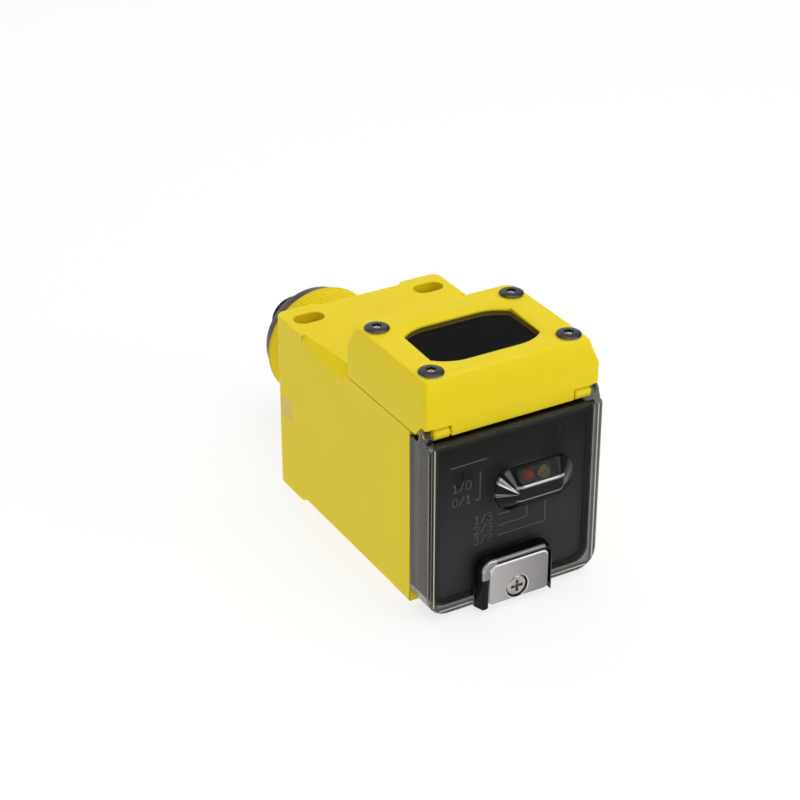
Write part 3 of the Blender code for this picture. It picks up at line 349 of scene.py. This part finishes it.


# ---- Head screws -------------------------------------------------------------------------------
# Four pan-head screws of dark plated steel, each with a six-lobe recess. The crown is turned
# smooth, and a band round its lower rim is given a paler steel as a painted highlight.

def pan_screw(name, node, axis, sign, recess, finish, slot, body, crown_turns=56):
    """A pan head, recess and shank as one surface.

    Rings run from the recess floor, up its wall, over the crown and down the shank. `recess`
    gives the wall's radius for each direction; below the mouth it is that, and above it the
    ring is round.
    """
    low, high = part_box(node)
    size = (np.array(high) - np.array(low)) / 2
    middle = (np.array(high) + np.array(low)) / 2
    index = "XYZ".index(axis)
    head_radius = max(np.delete(size, index))
    top = size[index]
    turn = np.linspace(0, 2 * np.pi, crown_turns, endpoint=False)
    wall = recess["shape"](turn)
    depth, crown, rim, shank = recess["depth"], recess["crown"], recess["rim"], recess["shank"]
    swell = np.sin(np.linspace(0, np.pi / 2, 12))[:, None]
    start = wall.max() + 0.00008
    rings = [(0 * wall, top - depth * 1.25 + 0 * wall), (wall * 0.55, top - depth + 0 * wall),
             (wall * 0.90, top - depth * 0.8 + 0 * wall), (wall, top - depth * 0.3 + 0 * wall),
             (wall * 1.03, top - 0.00004 + 0 * wall)]
    over = start + (head_radius - start) * swell
    drop = crown * (1 - np.sqrt(np.clip(1 - (np.clip(over - start, 0, None)
                                             / (head_radius - start)) ** 2, 0, 1)))
    rings += [(ring + 0 * wall, top - down + 0 * wall) for ring, down in zip(over, drop)]
    under = top - crown - rim
    rings += [(head_radius * 0.985 + 0 * wall, under + 0 * wall), (shank + 0 * wall, under
              + 0 * wall), (shank + 0 * wall, -top + 0.0004 + 0 * wall),
              (shank * 0.5 + 0 * wall, -top + 0 * wall), (0 * wall, -top + 0 * wall)]
    radius = np.array([ring for ring, _ in rings])
    height = sign * np.array([ring for _, ring in rings])
    mesh = sheet_mesh(name, round_points(radius, height, middle, axis, crown_turns))
    mesh.set_sharp_from_angle(angle=math.radians(38))
    return settle(name, mesh, finish, body, slot, node)


def metal(name, bright, worn, roughness, brush=(1.0, 1.0, 1.0), per_metre=900.0, depth=0.000003):
    """Bare or plated metal: two tones in patches, fine scratches and uneven gloss."""
    made = Finish(name, Metallic=1.0)
    patches = made.ramp(made.noise(260.0, 4.0, 0.6), (0.35, 0.0), (0.7, 1.0))
    scratches = made.noise(per_metre, 4.0, 0.65, brush)
    made.give(Base_Color=made.blend(patches, (*bright, 1), (*worn, 1)),
              Roughness=roughness + scratches * 0.16 + patches * 0.05)
    made.bump(scratches, depth, 0.7)
    return made


dark_steel = metal("dark_plated_steel", (0.085, 0.075, 0.07), (0.05, 0.045, 0.042), 0.20)
highlight_rim_steel = metal("rim_steel_painted_highlight", (0.55, 0.52, 0.50), (0.30, 0.28, 0.27), 0.18)


def six_lobes(turn):
    """The wall of a six-lobe recess: a circle whose radius swells and shrinks six times round."""
    return 0.00100 + 0.00016 * np.cos(6 * turn)


def face_values(mesh, name, width):
    """A named value of every face, as rows of so many numbers."""
    values = np.empty(len(mesh.polygons) * width, dtype=np.float32)
    mesh.polygons.foreach_get(name, values)
    return values.reshape(-1, width).astype(float)


# The band between these depths below the crown gets the paler steel: a painted highlight.
RIM_START, RIM_END = 0.00047, 0.0009     # how far below the crown the bright rim lies


for node in [name for name in nodes if name.startswith("head_screw_")]:
    screw = pan_screw(node.replace("head_screw", "cover_screw"), node, "Z", 1,
                      {"shape": six_lobes, "depth": 0.0007, "crown": 0.00050, "rim": 0.00030,
                       "shank": 0.0010}, dark_steel, "dark_steel", "body")
    screw.data.materials.append(highlight_rim_steel.material)
    below_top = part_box(node)[1].z - face_values(screw.data, "center", 3)[:, 2]
    on_rim = (below_top > RIM_START) & (below_top < RIM_END)
    screw.data.polygons.foreach_set("material_index", on_rim.astype(np.int32))


# ---- Window and optics -------------------------------------------------------------------------
# A dark filter window is bonded under the dish. Behind it a black carrier holds the emitter's
# and the receiver's acrylic lenses on either side of a divider, with a diode below each.

def clear_plastic(name, tint, roughness=0.02, ior=1.49, sheen=1.0):
    """Clear or tinted plastic, polished, with faint dust that breaks up the gloss."""
    made = Finish(name, Transmission_Weight=1.0, IOR=ior, Specular_Tint=(sheen, sheen, sheen, 1))
    dust = made.ramp(made.noise(1800.0, 4.0, 0.7), (0.55, 0.0), (0.85, 1.0))
    ripple = made.noise(60.0, 1.0)
    made.give(Base_Color=made.blend(dust * 0.15, (*tint, 1), (*[c * 0.9 + 0.02 for c in tint], 1)),
              Roughness=roughness + dust * 0.05)
    made.bump(ripple, 0.00001, 0.25)
    return made


def black_plastic(name, colour=(0.012, 0.012, 0.013), roughness=0.42, grain_depth=0.000014):
    """Black moulding with a fine spark-eroded grain and slightly uneven gloss."""
    made = Finish(name)
    grain = made.noise(2200.0, 3.0, 0.6)
    patches = made.noise(120.0, 3.0)
    made.give(Base_Color=made.blend(patches, (*colour, 1), (*[c * 1.5 for c in colour], 1)),
              Roughness=roughness + grain * 0.14)
    made.bump(grain, grain_depth, 0.7)
    return made


def smoked_sheet(name, colour, alpha, gloss, roughness=0.012):
    """A thin dyed sheet that darkens what is behind it, with faint dust in its polish."""
    made = Finish(name, IOR=1.5, Specular_IOR_Level=gloss)
    dust = made.ramp(made.noise(1800.0, 4.0, 0.7), (0.55, 0.0), (0.85, 1.0))
    made.give(Base_Color=made.blend(dust * 0.2, (*colour, 1), (*[c + 0.02 for c in colour], 1)),
              Roughness=roughness + dust * 0.05, Alpha=alpha + dust * 0.02)
    made.bump(made.noise(60.0, 1.0), 0.00001, 0.25)
    return made


filter_plastic = smoked_sheet("filter_acrylic", (0.002, 0.0015, 0.001), 0.42, 0.04)
lens_plastic = clear_plastic("lens_acrylic", (0.86, 0.92, 0.97), 0.01)
black_nylon = black_plastic("black_nylon")
black_nylon.give(Specular_IOR_Level=0.06)
seal_rubber = black_plastic("seal_rubber", (0.014, 0.014, 0.014), 0.62, 0.00002)

put_finish(even_normals(settle("filter_window", softened("window", 0.0001), filter_plastic,
                               "body", "filter", "window")), filter_plastic)
for node, finish in (("window_gasket", seal_rubber), ("head_gasket", seal_rubber),
                     ("lens_holder", black_nylon)):
    put_finish(nodes[node], finish)
for node in ("emitter_lens", "receiver_lens", "infrared_emitter", "photodiode"):
    low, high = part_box(node)
    radius, tall = (high.x - low.x) / 2, high.z - low.z
    lens = node.endswith("lens")
    straight = 0.0012 if lens else tall - radius
    angle = np.linspace(np.pi / 2, 0, 14)
    dome = np.stack([radius * np.sin(angle), straight + (tall - straight) * np.cos(angle)], axis=1)
    line = np.vstack([[(0, 0), (radius * 0.96, 0), (radius, radius * 0.04)], dome])
    mesh = sheet_mesh(node, round_points(line[:, 0], line[:, 1],
                                         ((low.x + high.x) / 2, (low.y + high.y) / 2, low.z),
                                         "Z", 56))
    mesh.set_sharp_from_angle(angle=math.radians(40))
    tint = filter_plastic if node == "photodiode" else lens_plastic
    settle(node + "_moulding", mesh, tint, "body",
           "filter" if node == "photodiode" else "clear_lens", node)


# ---- Lid ---------------------------------------------------------------------------------------
# One moulding in smoked polycarbonate, polished all over: a plate with side and bottom walls,
# two ears on the hinge pins, a dome over the lamps and a hood round the clamp.

smoke = clear_plastic("smoked_polycarbonate", (0.34, 0.32, 0.30), 0.012, 1.45, 0.5)
thick_smoke = clear_plastic("smoked_polycarbonate_thick", (0.22, 0.20, 0.185), 0.012, 1.45, 0.6)
plate_smoke = smoked_sheet("smoked_polycarbonate_plate", (0.004, 0.0038, 0.0035), 0.30, 0.28)
lid = even_normals(settle("lid_moulding", softened("lid", 0.00022, 2, smooth=50.0), smoke, "lid",
                          "smoked_lid", "lid"))
lid_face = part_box("control_panel")[0].y - 0.0024
lid_low, lid_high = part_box("lid")


def framed(inset, blur):
    """A mask of the lid's face less a margin of its left, right and lower sides."""
    return plate_smoke.within((lid_low.x + inset, lid_low.y - 0.001, lid_low.z + inset),
                              (lid_high.x - inset, lid_high.y, lid_high.z + 0.001), blur)


LINE_START, LINE_END, BORDER = 0.0011, 0.0014, 0.0022    # distances in from the lid's outline
# A tan line 1.1 to 1.4 mm in from the outline, a little more opaque, is a painted highlight of the
# inner corner where the plate meets its walls.
root_highlight_line = framed(LINE_START, 0.0001) * (1.0 - framed(LINE_END, 0.0001))
border = 1.0 - framed(BORDER, 0.0002)
plate_smoke.give(
    Base_Color=plate_smoke.blend(root_highlight_line, (0.004, 0.0036, 0.003, 1), (0.62, 0.55, 0.46, 1)),
    Alpha=0.30 + border * 0.45 + root_highlight_line * 0.2)

# The dome's and the hood's slopes turn the view back inside the wall, so they look black: they are
# painted opaque black as painted shade, with painted highlights on the ridges and painted
# reflection streaks that fan out over the dome's left end.
slope = black_plastic("smoked_polycarbonate_slope_painted_shade_and_reflections", (0.004, 0.004, 0.004), 0.03, 0.0)
fan_x, fan_z = -0.0012, 0.02905      # the centre of the dome's left end
ridge_low, ridge_high = (-0.0200, lid_face - 0.0040, 0.0), (0.0200, lid_face - 0.0021, 0.0142)
crest_low, crest_high = (-0.0035, lid_face - 0.0040, 0.0292), (0.0130, lid_face - 0.0024, 0.0345)
end_low, end_high = (-0.0064, lid_face - 0.0034, 0.0235), (fan_x - 0.0002, lid_face - 0.0003, 0.0346)


def part_of(axis):
    return slope.node("ShaderNodeSeparateXYZ", inputs={"Vector": slope.place}, output=axis)


turn_up = slope.node("ShaderNodeMath", {"operation": "ARCTAN2"},
                     {0: part_of("Z") - fan_z, 1: fan_x - part_of("X")})


def streak(degrees, half, blur=2.0):
    """A mask of one ray of the fan of painted reflection streaks, so many degrees up from level,
    with soft sides.
    """
    off = slope.far(turn_up, math.radians(degrees))
    return slope.node("ShaderNodeMapRange", inputs={
        "Value": off, "From Min": math.radians(half + blur), "From Max": math.radians(half)})


reflection_fan = streak(44, 3.0) + streak(33, 3.0) + 0.16 * streak(68, 5.0, 5.0) + 0.45 * streak(-1, 1.0, 1.5) \
    + 0.35 * streak(-8, 0.8, 1.5)
# Painted highlights: the rounded strips of the lid's front ridges, the dome's crest lines and the
# hood's shoulder are painted as bright metal.
highlight_bevel = slope.node("ShaderNodeAttribute", {"attribute_name": "edge"}, output="Fac")
ridge_highlight = highlight_bevel * (slope.within(ridge_low, ridge_high, 0.0001) * 0.7
                     + slope.within(crest_low, crest_high, 0.0001) * 0.95)
dome_front, dome_back = lid_face - 0.0042, lid_face - 0.0030
ridge_highlight = ridge_highlight + 0.60 * slope.within((-0.0022, dome_front, 0.03045), (0.0106, dome_back, 0.0309),
                                    0.00015) \
    + 0.3 * slope.within((-0.0030, dome_front, 0.0270), (0.0106, dome_back, 0.0274), 0.00015)
glint_front, glint_back = lid_face - 0.00275, lid_face - 0.0022
hood_left, hood_right, hood_shoulder, hood_top = -0.0099, 0.0064, 0.0126, 0.0134
ridge_highlight = ridge_highlight + 0.8 * slope.within((hood_left, glint_front, 0.0088),
                                   (-hood_right, glint_back, hood_top), 0.0002) \
    + 0.4 * slope.within((-hood_right, glint_front, hood_shoulder),
                         (hood_right, glint_back, hood_top), 0.0001)
painted_reflection = slope.node("ShaderNodeMath", {"operation": "MINIMUM"},
                      {0: reflection_fan * slope.within(end_low, end_high, 0.0003) * 0.9 + ridge_highlight, 1: 1.0})
slope.give(Base_Color=slope.blend(painted_reflection, (0.004, 0.004, 0.004, 1), (0.86, 0.85, 0.83, 1)),
           Metallic=painted_reflection, Roughness=0.06 + slope.noise(900.0) * 0.05, Specular_IOR_Level=0.15)
# The right and bottom walls get a darker, more opaque copy of the smoked plastic: painted shade.
shaded_wall_smoke = smoked_sheet("smoked_polycarbonate_wall_painted_shade", (0.030, 0.020, 0.011), 0.72, 0.4)
for finish in (slope, thick_smoke, plate_smoke, shaded_wall_smoke):
    lid.data.materials.append(finish.material)
SLOPE, THICK, PLATE, WALL = 1, 2, 3, 4
lid_shoulder = 0.0440                # height above which the lid is only its two ears
dome_foot, dome_right = 0.020, 0.0100
wall_bottom, wall_right, plate_back = 0.0035, 0.0195, lid_face + 0.0018
centres = face_values(lid.data, "center", 3)
facing = face_values(lid.data, "normal", 3)
broad = face_values(lid.data, "area", 1)[:, 0] > 0.000005
proud = centres[:, 1] < lid_face - 0.0001
lens_top = broad & (facing[:, 2] > 0.55) & (centres[:, 0] > fan_x) & (centres[:, 0] < dome_right)
seen_through = proud & (centres[:, 2] > dome_foot) & ((facing[:, 1] > 0.05) | lens_top)
flat = (np.abs(facing[:, 1]) > 0.97) & (centres[:, 1] < plate_back)
far_wall = ~proud & ((centres[:, 2] < wall_bottom) | (centres[:, 0] > wall_right)) \
    & (np.abs(facing[:, 1]) < 0.3) & (centres[:, 2] < lid_shoulder)
kind = np.select([proud & ~seen_through, seen_through | flat, far_wall,
                  centres[:, 2] > lid_shoulder], [SLOPE, PLATE, WALL, THICK], 0)
lid.data.polygons.foreach_set("material_index", kind.astype(np.int32))


# ---- Clamp -------------------------------------------------------------------------------------
# A stainless plate, brushed upright, sits under the hood. Its captive cross-recess screw turns
# into a brass insert in the body and holds the lid shut.

brushed = metal("brushed_stainless", (0.46, 0.44, 0.43), (0.34, 0.325, 0.32), 0.26,
                (6.0, 1.0, 0.4), 1500.0)
bright_steel = metal("bright_stainless", (0.50, 0.48, 0.46), (0.36, 0.34, 0.33), 0.18)
turned_brass = metal("machined_brass", (0.72, 0.50, 0.20), (0.58, 0.38, 0.14), 0.24)

# Base colour: the brushed tone varies at random, darkens towards the plate's right side as painted
# shade, and is pale on the rounded rims as a painted highlight.
across = brushed.node("ShaderNodeSeparateXYZ", inputs={"Vector": brushed.place}, output="X")
shade = brushed.node("ShaderNodeMapRange", inputs={
    "Value": across, "From Min": -0.0075, "From Max": 0.0070})
rim = brushed.node("ShaderNodeAttribute", {"attribute_name": "edge"}, output="Fac")
tone_and_painted_shade = brushed.blend(brushed.noise(900.0, 3.0, 0.6, (6.0, 1.0, 0.4)), (0.50, 0.48, 0.47, 1),
                      (0.42, 0.405, 0.40, 1))
tone_and_painted_shade = brushed.blend(shade * 0.9, tone_and_painted_shade, (0.23, 0.22, 0.22, 1))
brushed.give(Base_Color=brushed.blend(rim * 0.8, tone_and_painted_shade, (0.85, 0.84, 0.83, 1)))
even_normals(settle("clamp_plate_steel", softened("clamp_plate", 0.0002, 3), brushed, "lid",
                    "stainless", "clamp_plate"))


def cross(turn):
    """The wall of a cross-shaped recess: the further of two bars in each direction."""
    long_half, half = 0.00150, 0.00036
    c, s = np.abs(np.cos(turn)) + 1e-9, np.abs(np.sin(turn)) + 1e-9
    return np.maximum(np.minimum(long_half / c, half / s), np.minimum(long_half / s, half / c))


pan_screw("clamp_screw_steel", "clamp_screw", "Y", -1,
          {"shape": cross, "depth": 0.0011, "crown": 0.00060, "rim": 0.0007, "shank": 0.0012},
          bright_steel, "stainless", "clamp_screw", 96)
put_finish(nodes["clamp_insert"], turned_brass)


# ---- Control panel -----------------------------------------------------------------------------
# A dark grey tray carries the adjusters and lets the three lamps through. Fine lines and numbers
# are printed on its face in tan ink, and a rubber seal follows its rim under the lid.

panel_grey = Finish("panel_grey", Specular_IOR_Level=0.06)
mottle = panel_grey.noise(140.0, 3.0)
# Base colour: near black at the top and lighter grey towards the bottom, mottled: a painted
# reflection of the pale floor in the lid.
up = panel_grey.node("ShaderNodeSeparateXYZ", inputs={"Vector": panel_grey.place}, output="Z")
floor_reflection_share = panel_grey.node("ShaderNodeMapRange", inputs={
    "Value": up, "From Min": 0.041, "From Max": 0.016})
panel_grey.give(Base_Color=panel_grey.blend(floor_reflection_share * (0.8 + mottle * 0.2), (0.010, 0.0098, 0.010, 1),
                                            (0.120, 0.117, 0.120, 1)),
                Roughness=0.55 + mottle * 0.1)
panel_grey.bump(mottle, 0.000004, 0.3)
put_finish(nodes["control_panel"], panel_grey)
put_finish(nodes["lid_gasket"], seal_rubber)
for node in ("gain_adjuster", "gain_potentiometer", "mode_selector"):
    put_finish(nodes[node], black_nylon)
white_nylon = black_plastic("white_nylon", (0.45, 0.44, 0.41), 0.45)
put_finish(nodes["mode_switch_body"], white_nylon)

ink = Finish("tan_ink", Specular_IOR_Level=0.3)
ink_wear = ink.noise(1500.0, 3.0, 0.6)
ink.give(Base_Color=ink.blend(ink_wear, (0.30, 0.26, 0.21, 1), (0.44, 0.39, 0.31, 1)),
         Roughness=0.5 + ink_wear * 0.2)

panel_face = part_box("control_panel")[0].y


def printed(strokes, thickness, width):
    """Flat strokes just proud of the panel face: each leg is a strip `width` broad.

    Strip corners = ends of the leg, moved along it and across it by half the width.
    """
    legs = np.array([leg for stroke in strokes for leg in zip(stroke, stroke[1:])], float)
    begin, end = legs[:, 0], legs[:, 1]
    way = (end - begin) / np.linalg.norm(end - begin, axis=1, keepdims=True)
    across = np.stack([-way[:, 1], way[:, 0]], axis=1) * width / 2
    way = way * width / 2
    corners = np.stack([begin - way - across, end + way - across, end + way + across,
                        begin - way + across], axis=1)
    low = np.insert(corners, 1, panel_face - 0.00001, axis=2)
    high = np.insert(corners, 1, panel_face - thickness, axis=2)
    points = np.concatenate([low, high], axis=1).reshape(-1, 3)
    block = np.array([[0, 1, 2, 3], [7, 6, 5, 4], [4, 5, 1, 0], [5, 6, 2, 1], [6, 7, 3, 2],
                      [7, 4, 0, 3]])
    faces = (block[None] + 8 * np.arange(len(legs))[:, None, None]).reshape(-1, 4)
    mesh = bpy.data.meshes.new("printing")
    mesh.from_pydata(points.tolist(), [], faces.tolist())
    return mesh


GLYPHS = {"1": [[(0.2, 0.75), (0.55, 1), (0.55, 0)], [(0.2, 0), (0.9, 0)]],
          "0": [[(0.2, 0), (0, 0.2), (0, 0.8), (0.2, 1), (0.8, 1), (1, 0.8), (1, 0.2), (0.8, 0),
                 (0.2, 0)]],
          "2": [[(0, 0.8), (0.2, 1), (0.75, 1), (0.95, 0.8), (0.95, 0.62), (0, 0), (1, 0)]],
          "3": [[(0, 0.85), (0.2, 1), (0.75, 1), (0.95, 0.8), (0.75, 0.54), (0.4, 0.54)],
                [(0.75, 0.54), (1, 0.3), (0.75, 0), (0.2, 0), (0, 0.15)]],
          "/": [[(0.1, 0), (0.9, 1)]]}


def glyphs(signs, x, z, height=0.0020, width=0.00120, pitch=0.00170):
    """The strokes of a row of numbers and signs whose lower left corner is at (x, z)."""
    return [[(x + number * pitch + width * u, z + height * v) for u, v in stroke]
            for number, sign in enumerate(signs) for stroke in GLYPHS[sign]]


marks = [[(-0.0154, 0.0367), (-0.0065, 0.0368)],
         [(-0.0080, 0.0338), (-0.0080, 0.0269), (-0.0091, 0.0269)],
         [(-0.0029, 0.0214), (-0.0002, 0.0214)],
         [(-0.0029, 0.0185), (0.0044, 0.0186), (0.0044, 0.0235)],
         [(-0.0029, 0.0160), (0.0093, 0.0160), (0.0093, 0.0235)]]
for signs, x, z in (("1/0", -0.0150, 0.0304), ("0/1", -0.0150, 0.0268), ("1/3", -0.0093, 0.0206),
                    ("2/3", -0.0093, 0.0179), ("3/3", -0.0093, 0.0152)):
    marks += glyphs(signs, x, z)
INK_THICKNESS, INK_WIDTH = 0.00003, 0.00028
settle("panel_printing", printed(marks, INK_THICKNESS, INK_WIDTH), ink, "body", "panel")

lamp_glow = {"lamp_red": (0.62, 0.006, 0.014), "lamp_yellow": (0.62, 0.50, 0.12),
             "lamp_green": (0.004, 0.012, 0.006)}
for node, colour in lamp_glow.items():
    epoxy = Finish(node + "_epoxy", IOR=1.52, Coat_Weight=0.6, Coat_Roughness=0.04)
    depth = epoxy.ramp(epoxy.noise(700.0, 3.0), (0.3, 0.0), (0.7, 1.0))
    epoxy.give(Base_Color=epoxy.blend(depth, (*colour, 1), (*[c * 0.6 for c in colour], 1)),
               Roughness=0.12 + depth * 0.1, Emission_Strength=0.12,
               Emission_Color=epoxy.blend(depth, (*colour, 1), (*[c * 0.5 for c in colour], 1)))
    low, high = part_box(node)
    radius, tall = (high.x - low.x) / 2, high.y - low.y
    angle = np.linspace(0, np.pi / 2, 12)
    line = np.vstack([[(0, tall), (radius, tall)],
                      np.stack([radius * np.cos(angle), radius * (1 - np.sin(angle))], axis=1)])
    mesh = sheet_mesh(node, round_points(line[:, 0], line[:, 1],
                                         ((low.x + high.x) / 2, low.y, (low.z + high.z) / 2),
                                         "Y", 40))
    mesh.set_sharp_from_angle(angle=math.radians(50))
    settle(node + "_lens", mesh, epoxy, "body", node.split("_")[1] + "_lamp", node)


# ---- Boards and components ---------------------------------------------------------------------
# Three glass-epoxy boards under green solder mask carry the lamps, the lenses' diodes and the
# output relay, with a moulded header and a terminal block for the inlet's leads.

mask_green = Finish("solder_mask", IOR=1.5, Coat_Weight=0.3)
weave = mask_green.node("ShaderNodeTexBrick", {"offset": 0.5}, {
    "Vector": mask_green.place, "Scale": 420.0, "Mortar Size": 0.03,
    "Color1": (0.2, 0.2, 0.2, 1), "Color2": (0.6, 0.6, 0.6, 1), "Mortar": (1, 1, 1, 1)})
mask_green.give(Base_Color=mask_green.blend(weave * 0.7, (0.010, 0.110, 0.035, 1),
                                            (0.030, 0.230, 0.080, 1)),
                Roughness=0.3 + mask_green.noise(900.0, 2.0) * 0.2)
mask_green.bump(weave, 0.00002, 0.5)
for node in ("optics_board", "panel_board", "main_board"):
    put_finish(nodes[node], mask_green)
sleeve_blue = black_plastic("blue_sleeve", (0.020, 0.050, 0.200), 0.3)
for node in ("output_relay", "filter_capacitor"):
    put_finish(nodes[node], sleeve_blue)
for node in ("board_header", "controller_chip"):
    put_finish(nodes[node], black_nylon)
put_finish(nodes["terminal_block"], white_nylon)


# ---- Plug inlet --------------------------------------------------------------------------------
# A threaded shell of dull nickel-plated brass screws into the hub against a rubber ring. Inside,
# a black carrier holds four gold-plated contacts, and a coloured lead runs from each.

nickel = metal("dull_nickel", (0.15, 0.135, 0.125), (0.07, 0.06, 0.055), 0.24)
gold = metal("gold_plate", (0.86, 0.60, 0.22), (0.72, 0.47, 0.15), 0.18)

shell_low, shell_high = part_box("connector_shell")
SHELL_END, SHELL_RADIUS, SHELL_BORE, SHELL_PITCH = shell_high.y, 0.0060, 0.0046, 0.001
flange_front, flange_back = shell_low.y + 0.0174, shell_low.y + 0.0204
FLANGE_RADIUS, TAIL_RADIUS = 0.0132, 0.0090
SHELL_COLUMNS = 112
barrel = [(SHELL_BORE, SHELL_END), (SHELL_RADIUS - 0.0004, SHELL_END),
          (SHELL_RADIUS, SHELL_END - 0.0004), (SHELL_RADIUS, flange_back + 0.0001)]
barrel_radius, barrel_height = threaded(barrel, flange_back + 0.0016, SHELL_END - 0.0004,
                                        SHELL_PITCH, 0.00055, SHELL_COLUMNS, 0.00009)
rest = fine_path([(SHELL_RADIUS - 0.00055, flange_back), (FLANGE_RADIUS - 0.0005, flange_back),
                  (FLANGE_RADIUS - 0.00015, flange_back - 0.00015),
                  (FLANGE_RADIUS, flange_back - 0.0005), (FLANGE_RADIUS, flange_front + 0.0004),
                  (FLANGE_RADIUS - 0.0004, flange_front), (TAIL_RADIUS, flange_front),
                  (TAIL_RADIUS, shell_low.y), (SHELL_BORE, shell_low.y)], 0.0008)
shell_radius = np.vstack([barrel_radius, np.broadcast_to(rest[:, :1],
                                                         (len(rest), SHELL_COLUMNS))])
shell_height = np.vstack([barrel_height, np.broadcast_to(rest[:, 1:],
                                                         (len(rest), SHELL_COLUMNS))])
shell_mesh = sheet_mesh("inlet_shell", round_points(shell_radius, shell_height, (0, 0, hub_z),
                                                    "Y", SHELL_COLUMNS), wrap_rows=True)
shell_mesh.set_sharp_from_angle(angle=math.radians(40))
settle("inlet_shell", shell_mesh, nickel, "body", "nickel", "connector_shell")

ring_low, ring_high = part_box("connector_gasket")
ring_half = (ring_high.y - ring_low.y) / 2
ring_outer, ring_inner = (ring_high.x - ring_low.x) / 2, TAIL_RADIUS + 0.0002
angle = np.linspace(0, 2 * np.pi, 28, endpoint=False)
shape = np.sign(np.cos(angle)) * np.abs(np.cos(angle)) ** 0.45
rise = np.sign(np.sin(angle)) * np.abs(np.sin(angle)) ** 0.45
seal_mesh = sheet_mesh("inlet_seal", round_points(
    (ring_outer + ring_inner) / 2 + (ring_outer - ring_inner) / 2 * shape, ring_half * rise,
    (0, (ring_low.y + ring_high.y) / 2, hub_z), "Y", 96), wrap_rows=True)
settle("inlet_seal", seal_mesh, seal_rubber, "body", "rubber", "connector_gasket")

put_finish(nodes["connector_insert"], black_nylon)
for number in range(1, 5):
    node = f"contact_pin_{number}"
    low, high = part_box(node)
    radius, long = (high.x - low.x) / 2, high.y - low.y
    line = fine_path([(0, long), (radius * 0.45, long), (radius * 0.85, long - 0.00018),
                      (radius, long - 0.0005), (radius, 0), (0, 0)], 0.002)
    mesh = sheet_mesh(node, round_points(line[:, 0], line[:, 1],
                                         ((low.x + high.x) / 2, low.y, (low.z + high.z) / 2),
                                         "Y", 24))
    mesh.set_sharp_from_angle(angle=math.radians(50))
    settle(f"contact_{number}", mesh, gold, "body", "gold", node)
for number, colour in enumerate(((0.10, 0.03, 0.012), (0.60, 0.60, 0.57), (0.012, 0.05, 0.30),
                                 (0.01, 0.01, 0.01)), 1):
    put_finish(nodes[f"lead_wire_{number}"], black_plastic(f"sleeve_{number}", colour, 0.4))


# ---- Studio ------------------------------------------------------------------------------------
# A pale floor that runs up into a plain backdrop, a broad soft light overhead, a weaker one from
# each side in front, and a pale surround. The camera stands to the left and looks down.

HALF = 0.02225
TARGET = np.array([0.0, 1.0, 1.0])
AZIMUTH, ELEVATION = math.radians(-29.8610533), math.radians(29.1058079)
DISTANCE, SHIFT_X, SHIFT_Y, LENS = 22.2163172, 0.653774636, -0.666393714, 97.392
back = np.array([math.sin(AZIMUTH) * math.cos(ELEVATION), -math.cos(AZIMUTH)
                 * math.cos(ELEVATION), math.sin(ELEVATION)])
right = np.array([math.cos(AZIMUTH), math.sin(AZIMUTH), 0.0])
up = np.cross(back, right)
place = (TARGET - SHIFT_X * right - SHIFT_Y * up + DISTANCE * back) * HALF
place = place + np.array([0.0, lid_face, 0.0007])
camera = bpy.data.objects.new("camera", bpy.data.cameras.new("camera"))
bpy.context.scene.collection.objects.link(camera)
camera.data.lens, camera.data.sensor_width = LENS, 36.0
camera.data.clip_start, camera.data.clip_end = 0.01, 20.0
camera.matrix_world = Matrix(np.column_stack([right, up, back]).tolist()).to_4x4()
camera.location = place.tolist()
bpy.context.scene.camera = camera

floor_size, steps = 3.0, 48
run = np.linspace(0, 1, steps)
bend = np.clip((run - 0.55) / 0.25, 0, 1)
floor_y = -floor_size + 2 * floor_size * np.minimum(run, 0.55) / 0.55 * 0.9 \
    + 0.6 * np.sin(bend * np.pi / 2)
floor_z = -0.0002 + 0.6 * (1 - np.cos(bend * np.pi / 2)) + np.clip(run - 0.8, 0, 1) * 12
floor_x = np.linspace(-floor_size, floor_size, 8)
floor_points = np.stack([np.broadcast_to(floor_x[None], (steps, 8)),
                         np.broadcast_to(floor_y[:, None], (steps, 8)),
                         np.broadcast_to(floor_z[:, None], (steps, 8))], axis=-1)
floor = bpy.data.objects.new("floor", sheet_mesh("floor", floor_points, wrap_columns=False))
bpy.context.scene.collection.objects.link(floor)
paper = Finish("pale_paper", Roughness=0.9, Specular_IOR_Level=0.1, Emission_Strength=0.76,
               Emission_Color=(1, 1, 1, 1))
paper.give(Base_Color=paper.blend(paper.noise(3.0, 2.0), (0.25, 0.25, 0.25, 1),
                                  (0.27, 0.27, 0.27, 1)))
put_finish(floor, paper)

MIDDLE = Vector((0, 0, 0.03))


def soft_light(name, place, size, watts):
    """A white square area light at `place`, aimed at the middle of the sensor."""
    lamp = bpy.data.lights.new(name, "AREA")
    lamp.shape, lamp.size, lamp.energy = "SQUARE", size, watts
    thing = bpy.data.objects.new(name, lamp)
    bpy.context.scene.collection.objects.link(thing)
    thing.location = place
    thing.rotation_mode = "QUATERNION"
    thing.rotation_quaternion = (MIDDLE - Vector(place)).to_track_quat("-Z", "Y")


soft_light("overhead", (0.10, -0.05, 0.75), 0.7, 2.7)
soft_light("front_right", (0.55, -0.75, 0.45), 0.5, 1.9)
soft_light("front_left", (-0.34, -0.62, 0.60), 0.6, 0.45)

world = bpy.data.worlds.new("surround")
bpy.context.scene.world = world
world.use_nodes = True
world.node_tree.nodes["Background"].inputs["Color"].default_value = (1, 1, 1, 1)
world.node_tree.nodes["Background"].inputs["Strength"].default_value = 0.42
bpy.context.scene.view_settings.view_transform = "Standard"
